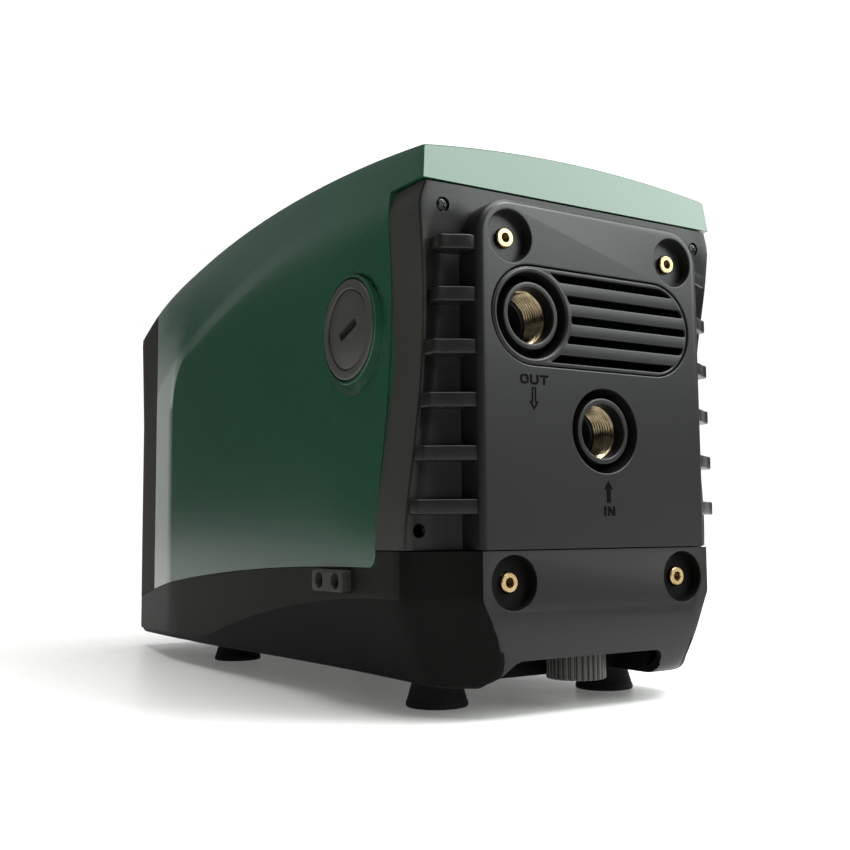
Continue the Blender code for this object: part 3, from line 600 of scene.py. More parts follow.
def upper_rows(y, low_z, inset=0.0):
    """Half cross section from low_z up the flank and over the roof, as (x, z) points."""
    panel_z, fold_z, edge_z, edge_x = panel_top_z(y), crease_row_z(y), roof_edge_z(y), roof_edge_x(y)
    heights = [low_z + (panel_z - low_z) * i / 22 for i in range(22)] + [panel_z]
    heights += [panel_z + (fold_z - panel_z) * share for share in (0.1, 0.35, 0.65, 0.9)]
    half = [(skin_x(y, z), z) for z in heights]
    fold_x = skin_x(y, fold_z)
    for share in (0.0, 0.06, 0.35, 0.65, 0.93):
        half.append((fold_x + (edge_x - fold_x) * share, fold_z + (edge_z - fold_z) * share))
    half.append((edge_x - 0.45, edge_z - 0.35))
    for share in (0.975, 0.85, 0.7, 0.52, 0.34, 0.17):
        half.append((edge_x * share, edge_z + CROWN * (1 - share**2)))
    half = [(x - inset, z - inset * smooth((z - fold_z) / 20)) for x, z in half]
    return half, (0.0, edge_z + CROWN - inset)


def whole_ring(half, top):
    return half + [top] + [(-x, z) for x, z in reversed(half)]


# --- green cover


def upper_solid(name, stations, low_z, lean=0.0):
    """A closed body inside the upper skin, through (y, inset) stations, its rear end leaning forward."""
    rows = []
    for y, inset in stations:
        half, top = upper_rows(min(max(y, FRONT_Y), FRAME_Y), low_z, inset)
        above = lean * smooth((y - LEAN_START_Y) / (FRAME_Y - LEAN_START_Y))
        below = lean * smooth((y - 250) / (FRAME_Y - 250))
        ring = [(x, z, above if z > BAND_Z else below) for x, z in whole_ring(half, top)]
        rows.append([(x, y - slant * (z - BAND_Z), z) for x, z, slant in ring])
    return from_rows(name, rows)


def sill_outline(stop, gap):
    """The sill up to a station and the round corner where it meets the dark strip, as (y, z) points."""
    radius, center_y = SILL_CORNER_R + gap, corner_y(95) - STRIP_WIDTH - SILL_CORNER_R
    points = [(y, sill_z(y) - gap) for y in range(-CUT_Y, stop, 12)]
    return points + arc((center_y, SILL_TOP_Z - gap + radius), radius, 270, 355, 8)


def cover_outline():
    """Everything below the sill and behind the dark strip, as (y, z) points."""
    points = sill_outline(209, 0.0)
    points += [(corner_y(z) - STRIP_WIDTH, z) for z in range(98, int(BAND_Z), 8)]
    points += [(corner_y(BAND_Z) - STRIP_WIDTH, BAND_Z), (FRAME_Y + 60, BAND_Z)]
    return points + [(FRAME_Y + 60, CUT_Z), (-CUT_Y, CUT_Z)]


def make_cover():
    front = [(COVER_FRONT_Y, 0.5), (COVER_FRONT_Y + 0.5, 0.0)]
    sides = [(y, 0.0) for y in [-200, -180, -160] + arc_stations(14) + [-80, -60, -35, -10]]
    sides += [(y, 0.0) for y in (15, 40, 65, 90, 115, 140, 160, 180, 200, 212, 224, 236, 246, 256)]
    rear = [(FRAME_Y - 1.6, 0.0), (FRAME_Y - 0.8, 0.2), (FRAME_Y - 0.3, 0.5), (FRAME_Y, 0.8)]
    cover = upper_solid("cover_shell", front + sides + rear, 0.0, BAND_LEAN)
    inside = [(COVER_FRONT_Y - 5, WALL)] + [(y, WALL) for y, _ in sides] + [(FRAME_Y - WALL, WALL)]
    cut(cover, upper_solid("cover_hollow", inside, -10.0, BAND_LEAN))
    cut(cover, through("cover_cutter", cover_outline()))
    add_fill_dish(cover)
    settle(cover, GREEN, "top_cover", slot="green_plastic", angle=24)


def add_fill_dish(cover):
    """A thick pad behind the flank, and the cap's seat with a shallow finger dish below and behind it."""
    low_y, high_y, low_z, high_z, steps = FILL.y - 45, FILL.y + 50, FILL.z - 47, FILL.z + 47, 12
    rows = []
    for i in range(steps + 1):
        y = low_y + (high_y - low_y) * i / steps
        heights = [low_z + (high_z - low_z) * k / steps for k in range(steps + 1)]
        outer = [(skin_x(y, z) - 1.2, y, z) for z in heights]
        inner = [(skin_x(y, z) - 10.0, y, z) for z in reversed(heights)]
        rows.append(outer + inner)
    join(cover, from_rows("dish_pad", rows))
    seat = [(0, 130), (34.6, 130), (34.6, 117.5), (34.0, 112.6), (33.2, 111.8), (33.2, 90), (0, 90)]
    cut(cover, turned("seat_cutter", seat, "X", FILL, 128))
    slope = [(0, 126), (52.0, 126), (41.0, 118.6), (38.4, 116.9), (36.0, 115.4), (32.5, 114.2), (0, 114.2)]
    cut(cover, turned("dish_cutter", slope, "X", FILL + DISH_SHIFT, 128))
    lip_x = FILL_FACE_X - 0.8
    lip = [(33.3, 108), (35.2, 108), (35.2, lip_x - 0.4), (34.8, lip_x), (33.3, lip_x)]
    join(cover, turned("seat_lip", lip, "X", FILL, 128))


# --- front panel


def make_front():
    back = COVER_FRONT_Y - REVEAL
    front = [(FRONT_Y, 3.2), (FRONT_Y + 0.35, 1.7), (FRONT_Y + 1.2, 0.6), (FRONT_Y + 3, 0.0)]
    body = [(y, 0.0) for y in (-270, -256, -242, -228)]
    panel = upper_solid("front_shell", front + body + [(back - 0.6, 0.0), (back, 0.5)], 0.0)
    hollow = [(FRONT_Y + WALL, WALL), (-260, WALL), (-235, WALL), (back + 5, WALL)]
    sill = [(-CUT_Y, CUT_Z)] + [(y, sill_z(y)) for y in range(-CUT_Y, 211, 15)] + [(210, CUT_Z)]
    cut(panel, upper_solid("front_hollow", hollow, -10.0), through("front_sill", sill))
    for node, radius in (("interface_panel", 5.0), ("compartment_door", 3.0)):
        opening = window(*span(node), radius, 0.4)
        cut(panel, flat(node + "_cutter", [opening], FRONT_Y - 9, FRONT_Y + 18, "ZX"))
    settle(panel, RIM, "front_panel")


def make_controls():
    low, high = span("interface_panel")
    window_low, window_high = span("display_window")
    keys = {key: round_size(key, "Y") for key in ("key_down", "key_up", "key_menu", "key_set")}
    outlines = [window(low, high, 4.6), window(window_low, window_high, 3.0, 0.4)]
    outlines += [circle((center.z, center.x), radius + 0.6, 48) for center, radius, _, _ in keys.values()]
    face = flat("control_fascia", outlines, FRONT_Y, high.y, "ZX", 0.6)
    settle(face, GREY, "interface_panel", slot="grey_plastic")
    pane = window(window_low, window_high, 2.6)
    pane = flat("display_pane", [pane], window_low.y, window_high.y, "ZX", 0.5)
    settle(pane, GLASS, "display_window", slot="glass")
    for key, (center, radius, low_y, high_y) in keys.items():
        profile = below(low_y, (0, -0.25), (radius * 0.6, -0.12), (radius - 0.9, 0), (radius - 0.3, -0.25))
        profile += [(radius, low_y + 0.9), (radius, high_y), (0, high_y)]
        cap = turned(key + "_cap", profile, "Y", center, 64)
        body = next(name for name, nodes in frame["record"]["behaviour"]["bodies"].items() if key in nodes)
        settle(cap, SATIN, key, body=body)
        settle(key_sign(key, center, low_y), PRINT, body=body)
    make_digits(window_low, window_high)


# Bars of the signs on the keys, as (half width, half height, height above the middle)
KEY_BARS = {
    "key_down": [(3.0, 0.5, 0)],
    "key_up": [(3.0, 0.5, 0), (0.5, 3.0, 0)],
    "key_menu": [(2.6, 0.4, height) for height in (-1.7, 0, 1.7)],
}


def key_sign(key, center, face_y):
    """Plain signs on the keys: minus, plus, three bars and a ring."""
    outlines = []
    for half_x, half_z, shift in KEY_BARS.get(key, []):
        z, x = center.z + shift, center.x
        corners = (z - half_z, x - half_x), (z + half_z, x + half_x)
        outlines.append([rounded_rectangle(*corners, [0.3] * 4, 2)])
    outlines = outlines or [[circle((center.z, center.x), radius, 40) for radius in (2.8, 2.0)]]
    front, back = face_y - 0.02, face_y + 0.5
    parts = [flat(f"{key}_part_{i}", outline, front, back, "ZX") for i, outline in enumerate(outlines)]
    for part in parts[1:]:
        join(parts[0], part)
    parts[0].name = key + "_sign"
    return parts[0]


# Segments of a digit, as (height, step to the right, upright), in half digit heights and digit widths
SEGMENTS = {"a": (2, 0.5, False), "b": (1.5, 1, True), "c": (0.5, 1, True), "d": (0, 0.5, False)}
SEGMENTS |= {"e": (0.5, 0, True), "f": (1.5, 0, True), "g": (1, 0.5, False)}


def make_digits(low, high):
    """A seven-segment reading, 2.5, behind the window's front face."""
    half, width, thick, gap = 10.0, 10.5, 1.7, 1.2
    foot_z = (low.z + high.z) / 2 - half
    outlines = []
    for left, lit in ((8.0 + width / 2, "abged"), (-8.0 + width / 2, "afgcd")):
        for rise, step, upright in (SEGMENTS[key] for key in lit):
            z, x = foot_z + rise * half, left - step * width
            reach_z, reach_x = (half / 2 - gap, thick / 2) if upright else (thick / 2, width / 2 - gap)
            corners = (z - reach_z, x - reach_x), (z + reach_z, x + reach_x)
            outlines.append(rounded_rectangle(*corners, [0.7] * 4, 3))
    outlines.append(circle((foot_z, 0.0), 1.1, 20))
    front, back = low.y - 0.03, low.y + 0.4
    parts = [flat(f"segment_{i}", [outline], front, back, "ZX") for i, outline in enumerate(outlines)]
    settle(merge("display_reading", *parts), LIT, slot="glass")


def make_door():
    low, high = span("compartment_door")
    y = (FRONT_Y + high.y) / 2
    plan = arc((HINGE_X, y), (high.y - FRONT_Y) / 2, 90, 270, 12)
    plan += [(high.x - 1.0, FRONT_Y), (high.x, FRONT_Y + 1.0), (high.x, high.y)]
    door = flat("door_leaf", [plan], low.z, high.z, "XY", 0.45)
    pin_low, pin_high = span("door_pin")
    bore_r = (pin_high.x - pin_low.x) / 2 + 0.35
    cut(door, disc("pin_bore", bore_r, low.z - 5, high.z + 5, "Z", (HINGE_X, y, 0), 32))
    grip = rounded_rectangle((108, 60), (132, 90), [6, 0, 0, 6])
    cut(door, flat("grip_cutter", [grip], FRONT_Y - 4, FRONT_Y + 1.7, "ZX", 0.3))
    settle(door, SATIN, "compartment_door", body="front_door")


# --- base


def base_width(y, z):
    width = skin_x(y, z)
    for (y0, d0), (y1, d1) in zip(CORNER_PLAN, CORNER_PLAN[1:]):
        if y0 < y <= y1:
            return width - d0 - (d1 - d0) * (y - y0) / (y1 - y0)
    return width


def base_floor_z(y):
    dip = FRONT_DIP * max(0.0, DIP_START_Y - y)
    reach = min(1.0, max(0.0, y - REAR_Y + ROLL_DEPTH) / ROLL_DEPTH)
    return BASE_BOTTOM_Z - dip + ROLL_HEIGHT * (1 - (1 - reach**ROLL_EASE) ** ROLL_BULGE)


def base_fold_z(y):
    """The fold between the upright wall and the part below it that leans in."""
    return max(base_floor_z(y) + FOLD_MIN, FOLD_TOP_Z - FOLD_FALL * (y - FOLD_TOP_Y) ** 2)


def base_row(y, inset):
    floor, fold = base_floor_z(y), base_fold_z(y)
    fold_x = base_width(y, fold)
    edge_x = base_width(y, floor) - 0.36 * (fold - floor)
    foot = [(14, 0), (8, 0.3), (4, 1), (1.4, 2.3), (0, 4.5)]
    half = [(edge_x - back, floor + rise) for back, rise in foot]
    for share in (0.12, 0.35, 0.6, 0.82, 0.93):
        half.append((edge_x + (fold_x - edge_x) * share, floor + 4.5 + (fold - floor - 4.5) * share))
    half.append((fold_x - 0.25, fold))
    for height in (fold + 1.6, fold + 4, fold + 9, 84.0, 92.0, 100.0):
        z = max(height, fold + 1.0)
        half.append((base_width(y, z), z))
    heights = sorted(z for _, z in half)
    half = [(x - inset, z + inset * (1 - (z - floor) / 60)) for (x, _), z in zip(half, heights)]
    half[-1] = (half[-1][0], 100.0 + inset)
    return half


def base_solid(name, inset, ends):
    corner = [236, 240, 244, 248, 252, 256, 260, 264, 268, 272, 275, 277.5, 279.5, 281, 281.9, 282.3]
    stations = [-276, -260, -240, -215, -190, -165, PANEL_FRONT_Y, -115, -85, -50, -10, 30, 70, 110, 145]
    stations += [175, 200, 220] + corner
    rows = []
    for y, extra in ends[0] + [(y, 0.0) for y in stations] + ends[1]:
        place = y * (REAR_Y - inset) / REAR_Y
        rows.append([(x, place, z) for x, z in base_row(y, inset + extra)])
    rows = [row + [(-x, y, z) for x, y, z in reversed(row)] for row in rows]
    return from_rows(name, rows)


def flared_disc(name, radius, depth_y, face_y, center, lip=0.7):
    """A round cutter along Y whose mouth opens with a small radius at the face."""
    angles = (1.5708, 1.0, 0.5, 0.0)
    steps = [(radius + lip * (1 - math.cos(a)), face_y - lip + lip * math.sin(a)) for a in angles]
    profile = [(0, face_y + 8), (steps[0][0], face_y + 8)] + steps + [(radius, depth_y), (0, depth_y)]
    return turned(name, profile, "Y", center, 96)


def make_base():
    ends = [(FRONT_Y, 2.6), (FRONT_Y + 0.6, 1.2), (FRONT_Y + 2.0, 0.3)], [(REAR_Y - 0.02, 0.0)]
    tray = base_solid("base_shell", 0.0, ends)
    cut(tray, base_solid("base_hollow", 4.0, ([(FRONT_Y, 0.0)], [])))
    outline = sill_outline(200, REVEAL) + [(corner_y(95) - STRIP_WIDTH + REVEAL, SEAM_Z - 0.25)]
    outline += [(REAR_Y + 8, SEAM_Z - 0.25), (REAR_Y + 8, 140), (-CUT_Y, 140)]
    cut(tray, through("sill_cutter", outline))
    join(tray, box("bay_front", (-55.5, 228, 19), (84, 262, 46)))
    join(tray, box("bay_rear", (-55.5, 260, 31), (65.5, 277, 46)))
    cut(tray, box("bay_pocket", (-52.5, 231.5, 0), (62, 275, 42.5)))
    notch = [(NOTCH_TOP_Z - depth, x) for depth, x in NOTCH]
    cut(tray, flat("notch_cutter", [notch], 246, 292, "ZX"))
    cut(tray, disc("neck_hole", 17, 38, 60, "Z", DRAIN))
    for side in ("left", "right"):
        add_recess(tray, "wall_insert_lower_" + side)
    low, high = span("side_socket")
    cut(tray, box("socket_opening", (108, low.y - 0.5, low.z - 0.5), (140, high.y + 0.5, high.z + 0.5)))
    cut(tray, disc("gland_hole", 10.4, -140, -100, "X", middle("cable_gland"), 48))
    settle(tray, PAINTED_SHADE_BLACK, "base_tray", angle=28)
    seats = [middle("wall_insert_lower_" + side) for side in ("left", "right")]

    def texture(spot, normal):
        """1 for the port end outside the insert recesses, 2 for the flanks above the fold; 0, a darker copy
        for the rest, is painted shade below the fold, round the rear corner and in the recesses.
        """
        if spot.y > 255 and normal.y > 0.3 and abs(normal.x) < 0.15:
            reach = min(math.hypot(spot.x - seat.x, spot.z - seat.z) for seat in seats)
            return reach > INSERT_RECESS_R + 0.2
        beside = abs(normal.x) > 0.8 and abs(spot.x) > 90
        return 2 if beside and spot.y < 243 and spot.z > base_fold_z(spot.y) else 0

    repaint(tray, [BLACK, FLANK], texture)


def add_recess(target, insert):
    """The round seat of a wall insert: a boss, a recess with a soft rim, and a bore."""
    center = middle(insert)
    join(target, disc(insert + "_boss", INSERT_RECESS_R + 2.0, 261, 281.2, "Y", center, 96))
    recess = flared_disc(insert + "_recess", INSERT_RECESS_R, 275, REAR_Y, center)
    cut(target, recess, disc(insert + "_bore", 6.2, 250, 276, "Y", center, 48))


# --- rear panel


def frame_row(z, inset):
    """Plan of the rear frame at one height: strip, soft corner edge and the hollow beside the plate."""
    top = smooth((z - 262) / 36)
    edge_x, edge_y = skin_x(VALLEY_Y, z), corner_y(z)
    tuck = TUCK * smooth((z - TUCK_START_Z) / TUCK_RUN)
    valley = VALLEY_Y + VALLEY_RISE * top
    sag = VALLEY_SAG * (1 - top)
    half = [(edge_x - tuck - inset, edge_y - STRIP_WIDTH + REVEAL - 4 * inset)]
    for back, side in ((20, 0.0), (8, 0.0), (2.6, 0.05), (1.3, 0.5), (0.5, 1.3), (0.2, 2.6)):
        half.append((edge_x - tuck - side - inset, edge_y - back - inset))
    start_x, start_y = edge_x - tuck - 2.6, edge_y - 0.2
    for share in (0.15, 0.3, 0.45, 0.6, 0.75, 0.9, 1.0):
        x = start_x + (PLATE_HALF_WIDTH - start_x) * share
        y = start_y + (valley - start_y) * share - sag * math.sin(math.pi * share)
        half.append((x - inset, y - inset))
    half.append((PLATE_HALF_WIDTH - 8 - inset, valley - inset))
    return [(x, y, z) for x, y in half] + [(-x, y, z) for x, y in reversed(half)]


def racetrack(radius, count=24):
    left = arc((OUTLET.z, OUTLET.x), radius, 0, 180, count)
    right = arc((OUTLET.z, GRILLE_END_X), radius, 180, 360, count)
    return left + right


def racetrack_cutter(name, radius, lip):
    rings = [(radius, 240), (radius, REAR_Y - lip)]
    rings += [(radius + lip * 0.3, REAR_Y - lip * 0.3), (radius + lip, REAR_Y), (radius + lip, 300)]
    return from_rows(name, [[(x, y, z) for z, x in racetrack(r)] for r, y in rings])


def add_fins(panel):
    """Fins from the raised plate out to both sides, each with a bowed edge and a round end."""
    for index, (top, end_x, end_y) in enumerate(FINS):
        plan = [(80, 255), (80, 278.6)]
        for share in (0.0, 0.15, 0.3, 0.45, 0.6, 0.75, 0.9, 1.0):
            bow = 1.8 * math.sin(math.pi * share) * (1 - share)
            plan.append((87 + (end_x - 90.4) * share, 278.4 + (end_y - 277.9) * share + bow))
        plan += arc((end_x - 2.6, end_y - 2.4), 2.6, 62, 0, 4) + [(end_x, 252)]
        for side in (1, -1):
            outline = [(side * x, y) for x, y in plan]
            join(panel, flat(f"fin_{index}_{side}", [outline], top - FIN_THICKNESS, top, "XY", 1.1))


def make_rear():
    levels = [SEAM_Z + REVEAL, SEAM_Z + 1.0] + list(range(104, 308, 6)) + [BAND_Z - 1.9, BAND_Z - 1.3]
    panel = from_rows("rear_shell", [frame_row(z, 0.0) for z in levels])
    hollow = [SEAM_Z - 20] + list(range(104, 308, 12)) + [BAND_Z + 20]
    cut(panel, from_rows("rear_hollow", [frame_row(z, WALL) for z in hollow]))
    edge = 3.6
    low = (SEAM_Z + REVEAL - edge - 2, -PLATE_HALF_WIDTH)
    plate = rounded_rectangle(low, (PLATE_TOP_Z, PLATE_HALF_WIDTH), (0, PLATE_RADIUS, PLATE_RADIUS, 0), 14)
    plate = flat("raised_plate", [plate], 250, REAR_Y, "ZX", edge)
    cut(plate, box("plate_foot", (-120, 240, 60), (120, 300, SEAM_Z + REVEAL)))
    join(panel, plate)
    add_fins(panel)
    pocket = rounded_rectangle((80, -82.0), (PLATE_TOP_Z - 6.5, 82.0), (0, 16, 16, 0))
    cut(panel, flat("plate_pocket", [pocket], 200, REAR_Y - WALL, "ZX"))
    skirt = [(PORT_RIM_R + 3, 281), (PORT_RIM_R + 3, 256), (PORT_RIM_R - 4, 256), (PORT_RIM_R - 4, 281)]
    join(panel, turned("inlet_skirt", skirt, "Y", INLET))
    cut(panel, flared_disc("inlet_opening", PORT_RIM_R, 240, REAR_Y, INLET))
    cut(panel, racetrack_cutter("grille_opening", GRILLE_R + 0.35, 0.7))
    for side in ("left", "right"):
        add_recess(panel, "wall_insert_upper_" + side)
        screw = middle("panel_screw_" + side)
        join(panel, disc("screw_boss", 6, 250, 264, "Y", screw, 32))
        cut(panel, disc("screw_bore", 2.1, 240, 265, "Y", screw, 24))
        cut(panel, disc("screw_recess", 4.5, 264.4, 290, "Y", screw, 48))
    for side in (1, -1):
        cut(panel, disc("low_hole", LOW_HOLE_R, 244, 290, "Y", (side * LOW_HOLE_X, 0, LOW_HOLE_Z), 48))
    settle(panel, BLACK, "rear_panel", angle=28)

    def texture(spot, normal):
        """1 for the strips beside the flanks."""
        return abs(normal.x) > 0.9 and spot.y < corner_y(spot.z) - 0.6 and abs(spot.x) > 105

    repaint(panel, [SIDE], texture)


def slot_outline(index):
    """A slot between two slats, its ends following the outlet rim and the racetrack's end."""
    offset = index * SLOT_PITCH
    steps = [offset + SLOT_HALF_HEIGHT * share for share in (-1, -0.85, -0.4, 0, 0.4, 0.85, 1)]
    ease = [0.9, 0.25, 0, 0, 0, 0.25, 0.9]
    near, far = PORT_RIM_R + 4.2, GRILLE_R - 2.2
    start = [(OUTLET.z + z, OUTLET.x - math.sqrt(near**2 - z**2) - e) for z, e in zip(steps, ease)]
    end = [(OUTLET.z + z, GRILLE_END_X - math.sqrt(far**2 - z**2) + e) for z, e in zip(steps, ease)]
    return start + list(reversed(end))


def make_grille():
    """The racetrack insert: rounded slats, and a raised rim round the outlet."""
    opening = circle((OUTLET.z, OUTLET.x), PORT_RIM_R, 96)
    outlines = [racetrack(GRILLE_R - REVEAL, 32), opening] + [slot_outline(i) for i in range(-2, 3)]
    grille = flat("grille_insert", outlines, REAR_Y - 4.2, REAR_Y - 0.5, "ZX", 0.8)
    rim = [(PORT_RIM_R + 3.0, 270), (PORT_RIM_R, 270), (PORT_RIM_R, REAR_Y - 0.9)]
    rim += arc((PORT_RIM_R + 1.5, REAR_Y - 1.4), 1.5, 160, 20, 8) + [(PORT_RIM_R + 3.0, REAR_Y - 0.9)]
    rim = turned("outlet_rim", rim, "Y", OUTLET, 128)
    settle(merge("vent_insert", grille, rim), BLACK, "vent_grille")


def ring_profile(outer, inner, low, high, edge):
    """A ring's section with a small radius on its four edges."""
    corners = [
        ((outer - edge, high - edge), 90, 0),
        ((outer - edge, low + edge), 0, -90),
        ((inner + edge, low + edge), 270, 180),
        ((inner + edge, high - edge), 180, 90),
    ]
    points = []
    for center, start, end in corners:
        points += arc(center, edge, start, end, 3)
    return points


def helix_ring(name, outer, low, high, center):
    """A metal insert with a real pipe thread cut into its bore."""
    around, per_turn, mouth_depth = 72, 10, 1.6
    count = int((high - low) / THREAD_PITCH * per_turn)
    rows = []
    for i in range(around + 1):
        angle = 2 * math.pi * (i % around) / around
        section = []
        for k in range(count + 1):
            y = low + (high - low) * k / count
            phase = ((y - low) / THREAD_PITCH + angle / (2 * math.pi)) % 1.0
            groove = min(1.0, max(0.0, 1.12 - abs(2 * phase - 1) * 1.24))
            mouth = max(0.0, mouth_depth - (high - y)) * 0.75
            radius = THREAD_MINOR_R + (THREAD_MAJOR_R - THREAD_MINOR_R) * groove + mouth
            section.append((min(THREAD_MAJOR_R + 0.2, radius), y))
        section += [(outer, high), (outer, low)]
        rows.append([(r * math.cos(angle), r * math.sin(angle), y) for r, y in section])
    return stand(from_rows(name, rows, caps=False), "Y", center)


def make_ports():
    for name in ("inlet", "outlet"):
        center, _, back_y, _ = round_size(name + "_port", "Y")
        inner, step_y, face_y = THREAD_MINOR_R + 3.85, COLLAR_FACE_Y - 3.6, COLLAR_FACE_Y + COLLAR_LIP
        profile = [(COLLAR_R, back_y), (inner, back_y), (inner, step_y), (COLLAR_BORE_R, step_y)]
        profile += arc((COLLAR_BORE_R + 0.8, face_y - 0.8), 0.8, 180, 90, 4)
        profile += arc((COLLAR_R - 0.9, face_y - 0.9), 0.9, 90, 0, 4)
        settle(turned(name + "_collar", profile, "Y", center, 128), BLACK, name + "_port")
        _, outer, back_y, top_y = round_size(name + "_thread", "Y")
        end_y = top_y - THREAD_DEPTH
        thread = helix_ring(name + "_helix", outer, end_y, top_y, center)
        settle(thread, NICKEL, name + "_thread", slot="nickel", angle=50)
        sleeve = ring_profile(outer, 13.4, back_y, end_y - 0.1, 0.6)
        settle(turned(name + "_sleeve", sleeve, "Y", center), SATIN)


def make_inserts():
    """Brass wall inserts with a waist outside and grooves in the bore."""
    for corner in ("upper_left", "upper_right", "lower_left", "lower_right"):
        node = "wall_insert_" + corner
        center, outer, back, face = round_size(node, "Y")
        waist, bore = outer - 0.7, INSERT_BORE_R
        profile = below(face, (outer - 0.5, 0), (outer, 0.5), (outer, 1.6), (waist, 2.0), (waist, 5.0))
        profile += [(outer, face - 5.4), (outer, back), (bore + 0.4, back)]
        start, pitch = back + 0.6, (face - back - 2.6) / INSERT_GROOVES
        for i in range(INSERT_GROOVES):
            profile += [(bore, start + pitch * i), (bore + 0.38, start + pitch * (i + 0.5))]
        profile += below(face, (bore, 1.9), (bore + 0.25, 0.6), (bore + 0.6, 0))
        piece = turned(node + "_body", profile, "Y", center, 64)
        settle(piece, BRASS, node, slot="brass")

        def texture(spot, normal):
            """1 inside the bore, where a darker brass is painted shade."""
            return math.hypot(spot.x - center.x, spot.z - center.z) < bore + 0.5 and spot.y < face - 1.2

        repaint(piece, [BORE_SHADE_BRASS], texture)


def make_screws():
    """Domed panel screws with a cross recess."""
    for side in ("left", "right"):
        node = "panel_screw_" + side
        center, head, back, face = round_size(node, "Y")
        crown = 0.9
        angles = [math.radians(a) for a in range(0, 91, 15)]
        profile = [(head * math.sin(a), face - crown + crown * math.cos(a)) for a in angles]
        profile += [(head, face - 1.5), (1.7, face - 1.5), (1.7, back), (0, back)]
        screw = turned(node + "_body", profile, "Y", center, 48)
        for turn in (28, 118):
            blade = box("driver_blade", (-2.3, face - 1.3, -0.42), (2.3, face + 2, 0.42))
            cut(screw, place(blade, (center.x, 0, center.z), Matrix.Rotation(math.radians(turn), 4, "Y")))
        settle(screw, DARK_STEEL, node, slot="dark_steel")


def mirrored(*right):
    """An outline from its right half; points on the middle line come once."""
    return list(right) + [(-u, v) for u, v in reversed(right) if u]


def glyphs():
    """Generic flow marks as (outlines, centre x, centre z): words, a hollow arrow and a solid arrow."""
    half, bar = 3.0, 1.25
    letter_u = [(-half, 2.6), (-half, -1.0)] + arc((-half + 2.0, -1.0), 2.0, 180, 270, 4)[1:]
    letter_u += arc((half - 2.0, -1.0), 2.0, 270, 360, 4) + [(half, 2.9), (half - bar, 2.9)]
    letter_u += arc((half - 2.0, -1.0), 2.0 - bar, 0, -90, 3)
    letter_u += arc((-half + 2.0, -1.0), 2.0 - bar, 270, 180, 3)
    letter_u += [(-half + bar, 2.9), (-half, 2.9)]
    wide = rounded_rectangle((-half, -2.9), (half, 2.9), [2.2] * 4, 5)
    narrow = rounded_rectangle((-half + bar, -2.9 + bar), (half - bar, 2.9 - bar), [1.1] * 4, 4)
    letter_t = mirrored((bar / 2, -2.9), (bar / 2, 2.9 - bar), (half, 2.9 - bar), (half, 2.9))
    letter_i = mirrored((bar / 2, -2.9), (bar / 2, 2.9))
    letter_n = [(-2.7, -2.9), (-2.7, 2.9), (-1.3, 2.9), (1.45, -0.9), (1.45, 2.9)]
    letter_n += [(-u, -v) for u, v in letter_n]
    down = mirrored((1.5, 6.7), (1.5, -1.6), (3.4, -1.6), (0, -6.7))
    inner = mirrored((0.75, 5.95), (0.75, -2.3), (1.9, -2.3), (0, -5.3))
    up = mirrored((1.4, -6.6), (1.4, 1.4), (3.4, 1.4), (0, 6.6))
    pitch = 7.35
    return [
        ([wide, narrow], OUTLET.x + pitch, 196.5),
        ([letter_u], OUTLET.x, 196.5),
        ([letter_t], OUTLET.x - pitch, 196.5),
        ([down, inner], OUTLET.x + 0.5, 185.2),
        ([up], INLET.x - 1.2, 131.1),
        ([letter_i], INLET.x + 1.8, 119.3),
        ([letter_n], INLET.x - 3.2, 119.3),
    ]


def make_marks():
    parts = []
    for index, (outlines, x, z) in enumerate(glyphs()):
        placed = [[(z + v, x - u) for u, v in outline] for outline in outlines]
        parts.append(flat(f"mark_{index}", placed, REAR_Y - 0.5, REAR_Y + 0.35, "ZX"))
    settle(merge("flow_marks", *parts), MARKS)


# --- plugs, feet and side fittings


def make_fill_cap():
    """The filling cap: a flat rim, a sunken disc with a coin slot, and a stem."""
    _, radius, back, face = round_size("fill_cap", "X")
    profile = below(face, (0, 0.9), (24.6, 0.9), (25.0, 1.1), (25.2, 2.0), (26.0, 2.0), (26.2, 0.5))
    profile += [(26.7, face)] + arc((radius - 1.6, face - 1.6), 1.6, 90, 0, 5)
    profile += [(radius, face - 8), (16.4, face - 8), (16.4, back), (0, back)]
    cap = turned("fill_cap_body", profile, "X", FILL, 128)
    slot = rounded_rectangle((-11.2, -2.9), (11.2, 2.9), [1.0] * 4, 4)
    slot = flat("coin_slot", [slot], face - 11.0, face + 4, "YZ")
    cut(cap, place(slot, (0, FILL.y, FILL.z), Matrix.Rotation(math.radians(20), 4, "X")))
    settle(cap, CAP, "fill_cap", body="fill_plug")
    make_seal("fill", 17.2, 0.9, "X")


def make_seal(name, inner, edge, axis):
    """The rubber ring under a plug."""
    center, outer, low, high = round_size(name + "_gasket", axis)
    ring = turned(name + "_seal_ring", ring_profile(outer, inner, low, high, edge), axis, center, 64)
    settle(ring, RUBBER, name + "_gasket", body=name + "_seal", slot="rubber")


def make_drain():
    """The drain plug: a ribbed knob on a stem."""
    _, radius, bottom, top = round_size("drain_plug", "Z")
    ribs = 30
    outline = []
    for i in range(ribs):
        for share, depth in ((0.0, 1.3), (0.18, 1.3), (0.32, 0.25), (0.42, 0.0), (0.78, 0.0), (0.88, 0.25)):
            angle = 2 * math.pi * (i + share) / ribs
            outline.append(((radius - depth) * math.cos(angle), (radius - depth) * math.sin(angle)))
    plug = stand(flat("ribbed_knob", [outline], bottom, 40.0, "XY", 0.8), "Z", DRAIN)
    join(plug, disc("drain_stem", 9.9, 36, top, "Z", DRAIN))
    cut(plug, disc("drain_dimple", 12.0, bottom - 4, bottom + 2.0, "Z", DRAIN))
    settle(plug, SATIN, "drain_plug", body="drain_cap")
    make_seal("drain", 10.5, 0.8, "Z")


